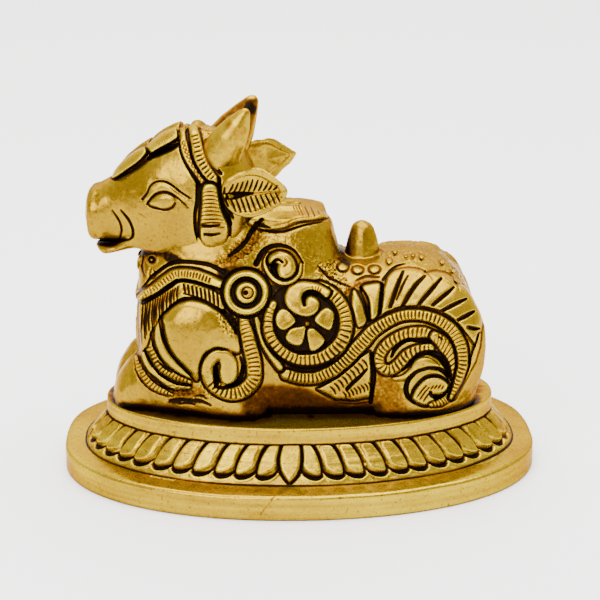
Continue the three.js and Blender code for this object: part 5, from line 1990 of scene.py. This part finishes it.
class Weave:
    """Adds nodes to a material and links them up."""

    def __init__(self, tree):
        self.nodes, self.links = tree.nodes, tree.links

    def feed(self, value, socket):
        """Sets a socket to a number or links it to another socket."""
        if isinstance(value, (int, float)):
            socket.default_value = value
        else:
            self.links.new(value, socket)

    def math(self, kind, a, b, clamp=False):
        """The result of one operation on two values."""
        node = self.nodes.new("ShaderNodeMath")
        node.operation = kind
        node.use_clamp = clamp
        self.feed(a, node.inputs[0])
        self.feed(b, node.inputs[1])
        return node.outputs[0]

    def swing(self, value, amount, middle=0.5):
        """A value counted from its middle, times an amount."""
        return self.math("MULTIPLY", self.math("SUBTRACT", value, middle), amount)

    def ramp(self, value, stops):
        """A run of colours, chosen by a value."""
        node = self.nodes.new("ShaderNodeValToRGB")
        while len(node.color_ramp.elements) < len(stops):
            node.color_ramp.elements.new(0.5)
        for element, (place, color) in zip(node.color_ramp.elements, stops):
            element.position = place
            element.color = (*color, 1)
        self.links.new(value, node.inputs[0])
        return node.outputs[0]

    def noise(self, scale, detail, stretch=(1, 1, 1)):
        """Noise in space, so many grains to the metre."""
        where = self.nodes.new("ShaderNodeTexCoord")
        mapping = self.nodes.new("ShaderNodeMapping")
        mapping.inputs["Scale"].default_value = stretch
        self.links.new(where.outputs["Object"], mapping.inputs["Vector"])
        node = self.nodes.new("ShaderNodeTexNoise")
        node.inputs["Scale"].default_value = scale
        node.inputs["Detail"].default_value = detail
        self.links.new(mapping.outputs["Vector"], node.inputs["Vector"])
        return node.outputs["Fac"]

    def attribute(self, name):
        """What was kept at the points of the mesh under a name."""
        node = self.nodes.new("ShaderNodeAttribute")
        node.attribute_name = name
        return node.outputs["Fac"]

    def multiplied(self, a, b, factor):
        """One colour times another, as far as the factor says."""
        node = self.nodes.new("ShaderNodeMix")
        node.data_type = "RGBA"
        node.blend_type = "MULTIPLY"
        self.feed(factor, node.inputs["Factor"])
        self.links.new(a, node.inputs["A"])
        if isinstance(b, tuple):
            node.inputs["B"].default_value = b
        else:
            self.links.new(b, node.inputs["B"])
        return node.outputs["Result"]


def brass(name, brushed):
    """The metal of the casting, or of the turned base with brush marks along it."""
    material = bpy.data.materials.new(name)
    material.use_nodes = True
    shader = material.node_tree.nodes["Principled BSDF"]
    w = Weave(material.node_tree)
    blotch = w.noise(90, 3)
    grain = w.noise(900, 4)
    speck = w.noise(1700, 2)

    # Where the patina and the painted shade sit: the sooty cuts and the sheltered places, broken up by
    # grain
    black = w.math("ADD", w.attribute("soot"), w.swing(grain, 0.36))
    black = w.math("ADD", black, w.swing(blotch, 0.24))

    shade = w.math("ADD", w.math("MULTIPLY", blotch, 0.5), w.math("MULTIPLY", w.attribute("rub"), 0.5))
    shade = w.math("ADD", shade, w.swing(w.noise(1500, 3), 0.3))
    if brushed:
        shade = w.math("ADD", shade, w.swing(w.noise(300, 4, (0.1, 0.15, 3.0)), 0.9))
    color = w.multiplied(w.ramp(shade, GOLD), w.ramp(black, PATINA_AND_SHADE), 1.0)
    dots = w.math("MULTIPLY", w.math("SUBTRACT", speck, 0.61, True), 6.0, True)
    w.links.new(w.multiplied(color, SPECK_COLOR, dots), shader.inputs["Base Color"])

    w.links.new(w.ramp(black, METAL), shader.inputs["Metallic"])
    shader.inputs["Specular IOR Level"].default_value = 0.08
    shader.inputs["Specular Tint"].default_value = EDGE_TINT
    rough = w.math("ADD", w.math("MULTIPLY", black, 0.22, True), w.math("MULTIPLY", grain, 0.24))
    w.links.new(w.math("ADD", rough, 0.14, True), shader.inputs["Roughness"])

    bump = w.nodes.new("ShaderNodeBump")
    bump.inputs["Strength"].default_value = 0.35
    bump.inputs["Distance"].default_value = BUMP_HEIGHT
    height = w.math("ADD", w.math("MULTIPLY", grain, 0.6), w.math("MULTIPLY", w.noise(280, 3), 0.8))
    if brushed:
        height = w.math("ADD", height, w.math("MULTIPLY", w.noise(420, 3, (0.12, 0.2, 3.0)), 1.2))
    w.links.new(height, bump.inputs["Height"])
    w.links.new(bump.outputs["Normal"], shader.inputs["Normal"])
    return material


cast_pieces = (near_front, near_rear, far_half, head_piece, *small)
cast_brass = brass("antiqued_brass", False)
for piece in cast_pieces:
    piece.data.materials.append(cast_brass)
base.data.materials.append(brass("antiqued_brass_brushed", True))
for piece in (base, *cast_pieces):
    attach(piece, "root")
    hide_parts(NODE)


# Floor, light and camera, in metres

FLOOR_REACH = 4.0
FLOOR_GAP = 0.00005
FLOOR_COLOR = (0.93, 0.93, 0.93, 1)
LIGHT_AIM = (0, 0, 0.03)
# The room's light on the viewer's side and behind the bull
ROOM_BEFORE = (0.78, 0.66, 0.52, 1)
ROOM_BEHIND = (1.9, 1.9, 1.9, 1)
SENSOR_WIDTH = 36.0
PICTURE_WIDTH = 600


def plain_floor():
    """The pale floor under the figure, which is only for the picture."""
    mesh = bpy.data.meshes.new("floor")
    corners = [(-FLOOR_REACH, -FLOOR_REACH, 0), (FLOOR_REACH, -FLOOR_REACH, 0)]
    corners += [(FLOOR_REACH, FLOOR_REACH, 0), (-FLOOR_REACH, FLOOR_REACH, 0)]
    mesh.from_pydata(corners, [], [(0, 1, 2, 3)])
    floor = new_object("floor", mesh)
    floor.location.z = -FLOOR_GAP
    material = bpy.data.materials.new("pale_floor")
    material.use_nodes = True
    shader = material.node_tree.nodes["Principled BSDF"]
    shader.inputs["Base Color"].default_value = FLOOR_COLOR
    shader.inputs["Roughness"].default_value = 0.9
    shader.inputs["Specular IOR Level"].default_value = 0.1
    mesh.materials.append(material)


def soft_light(name, place, size, power):
    """A rectangular lamp that faces the bull."""
    data = bpy.data.lights.new(name, "AREA")
    data.shape = "RECTANGLE"
    data.size, data.size_y = size
    data.energy = power
    light = bpy.data.objects.new(name, data)
    bpy.context.scene.collection.objects.link(light)
    light.location = place
    way = np.array(LIGHT_AIM) - np.array(place)
    yaw = math.atan2(way[1], way[0]) - math.pi / 2
    pitch = math.atan2(way[2], math.hypot(way[0], way[1])) + math.pi / 2
    light.rotation_euler = (pitch, 0, yaw)


def studio_room():
    """A room that is darker and warmer on the viewer's side than behind the bull."""
    world = bpy.data.worlds.new("studio")
    world.use_nodes = True
    room = world.node_tree
    facing = room.nodes.new("ShaderNodeTexCoord")
    parts = room.nodes.new("ShaderNodeSeparateXYZ")
    depth = room.nodes.new("ShaderNodeMapRange")
    depth.inputs["From Min"].default_value = -0.9
    depth.inputs["From Max"].default_value = 0.7
    tone = room.nodes.new("ShaderNodeMix")
    tone.data_type = "RGBA"
    tone.inputs["A"].default_value = ROOM_BEFORE
    tone.inputs["B"].default_value = ROOM_BEHIND
    room.links.new(facing.outputs["Generated"], parts.inputs["Vector"])
    room.links.new(parts.outputs["Y"], depth.inputs["Value"])
    room.links.new(depth.outputs["Result"], tone.inputs["Factor"])
    room.links.new(tone.outputs["Result"], room.nodes["Background"].inputs["Color"])
    bpy.context.scene.world = world


plain_floor()
soft_light("key", (-0.35, -0.72, 0.55), (0.7, 0.7), 13.5)
soft_light("top", (0.05, 0.05, 0.85), (1.1, 0.9), 24.0)
soft_light("rear", (0.1, 0.8, 0.5), (1.4, 0.6), 5.0)
studio_room()

camera_data = bpy.data.cameras.new("camera")
camera_data.sensor_width = SENSOR_WIDTH
camera_data.lens = SENSOR_WIDTH * EYE_DISTANCE * SHEET_SCALE / PICTURE_WIDTH
camera_data.clip_start = 0.01
camera = bpy.data.objects.new("camera", camera_data)
bpy.context.scene.collection.objects.link(camera)
camera.location = (EYE + BULL_PLACE) * MILLIMETRE
camera.rotation_euler = (math.pi / 2 - EYE_HEIGHT, 0, EYE_TURN)
bpy.context.scene.camera = camera
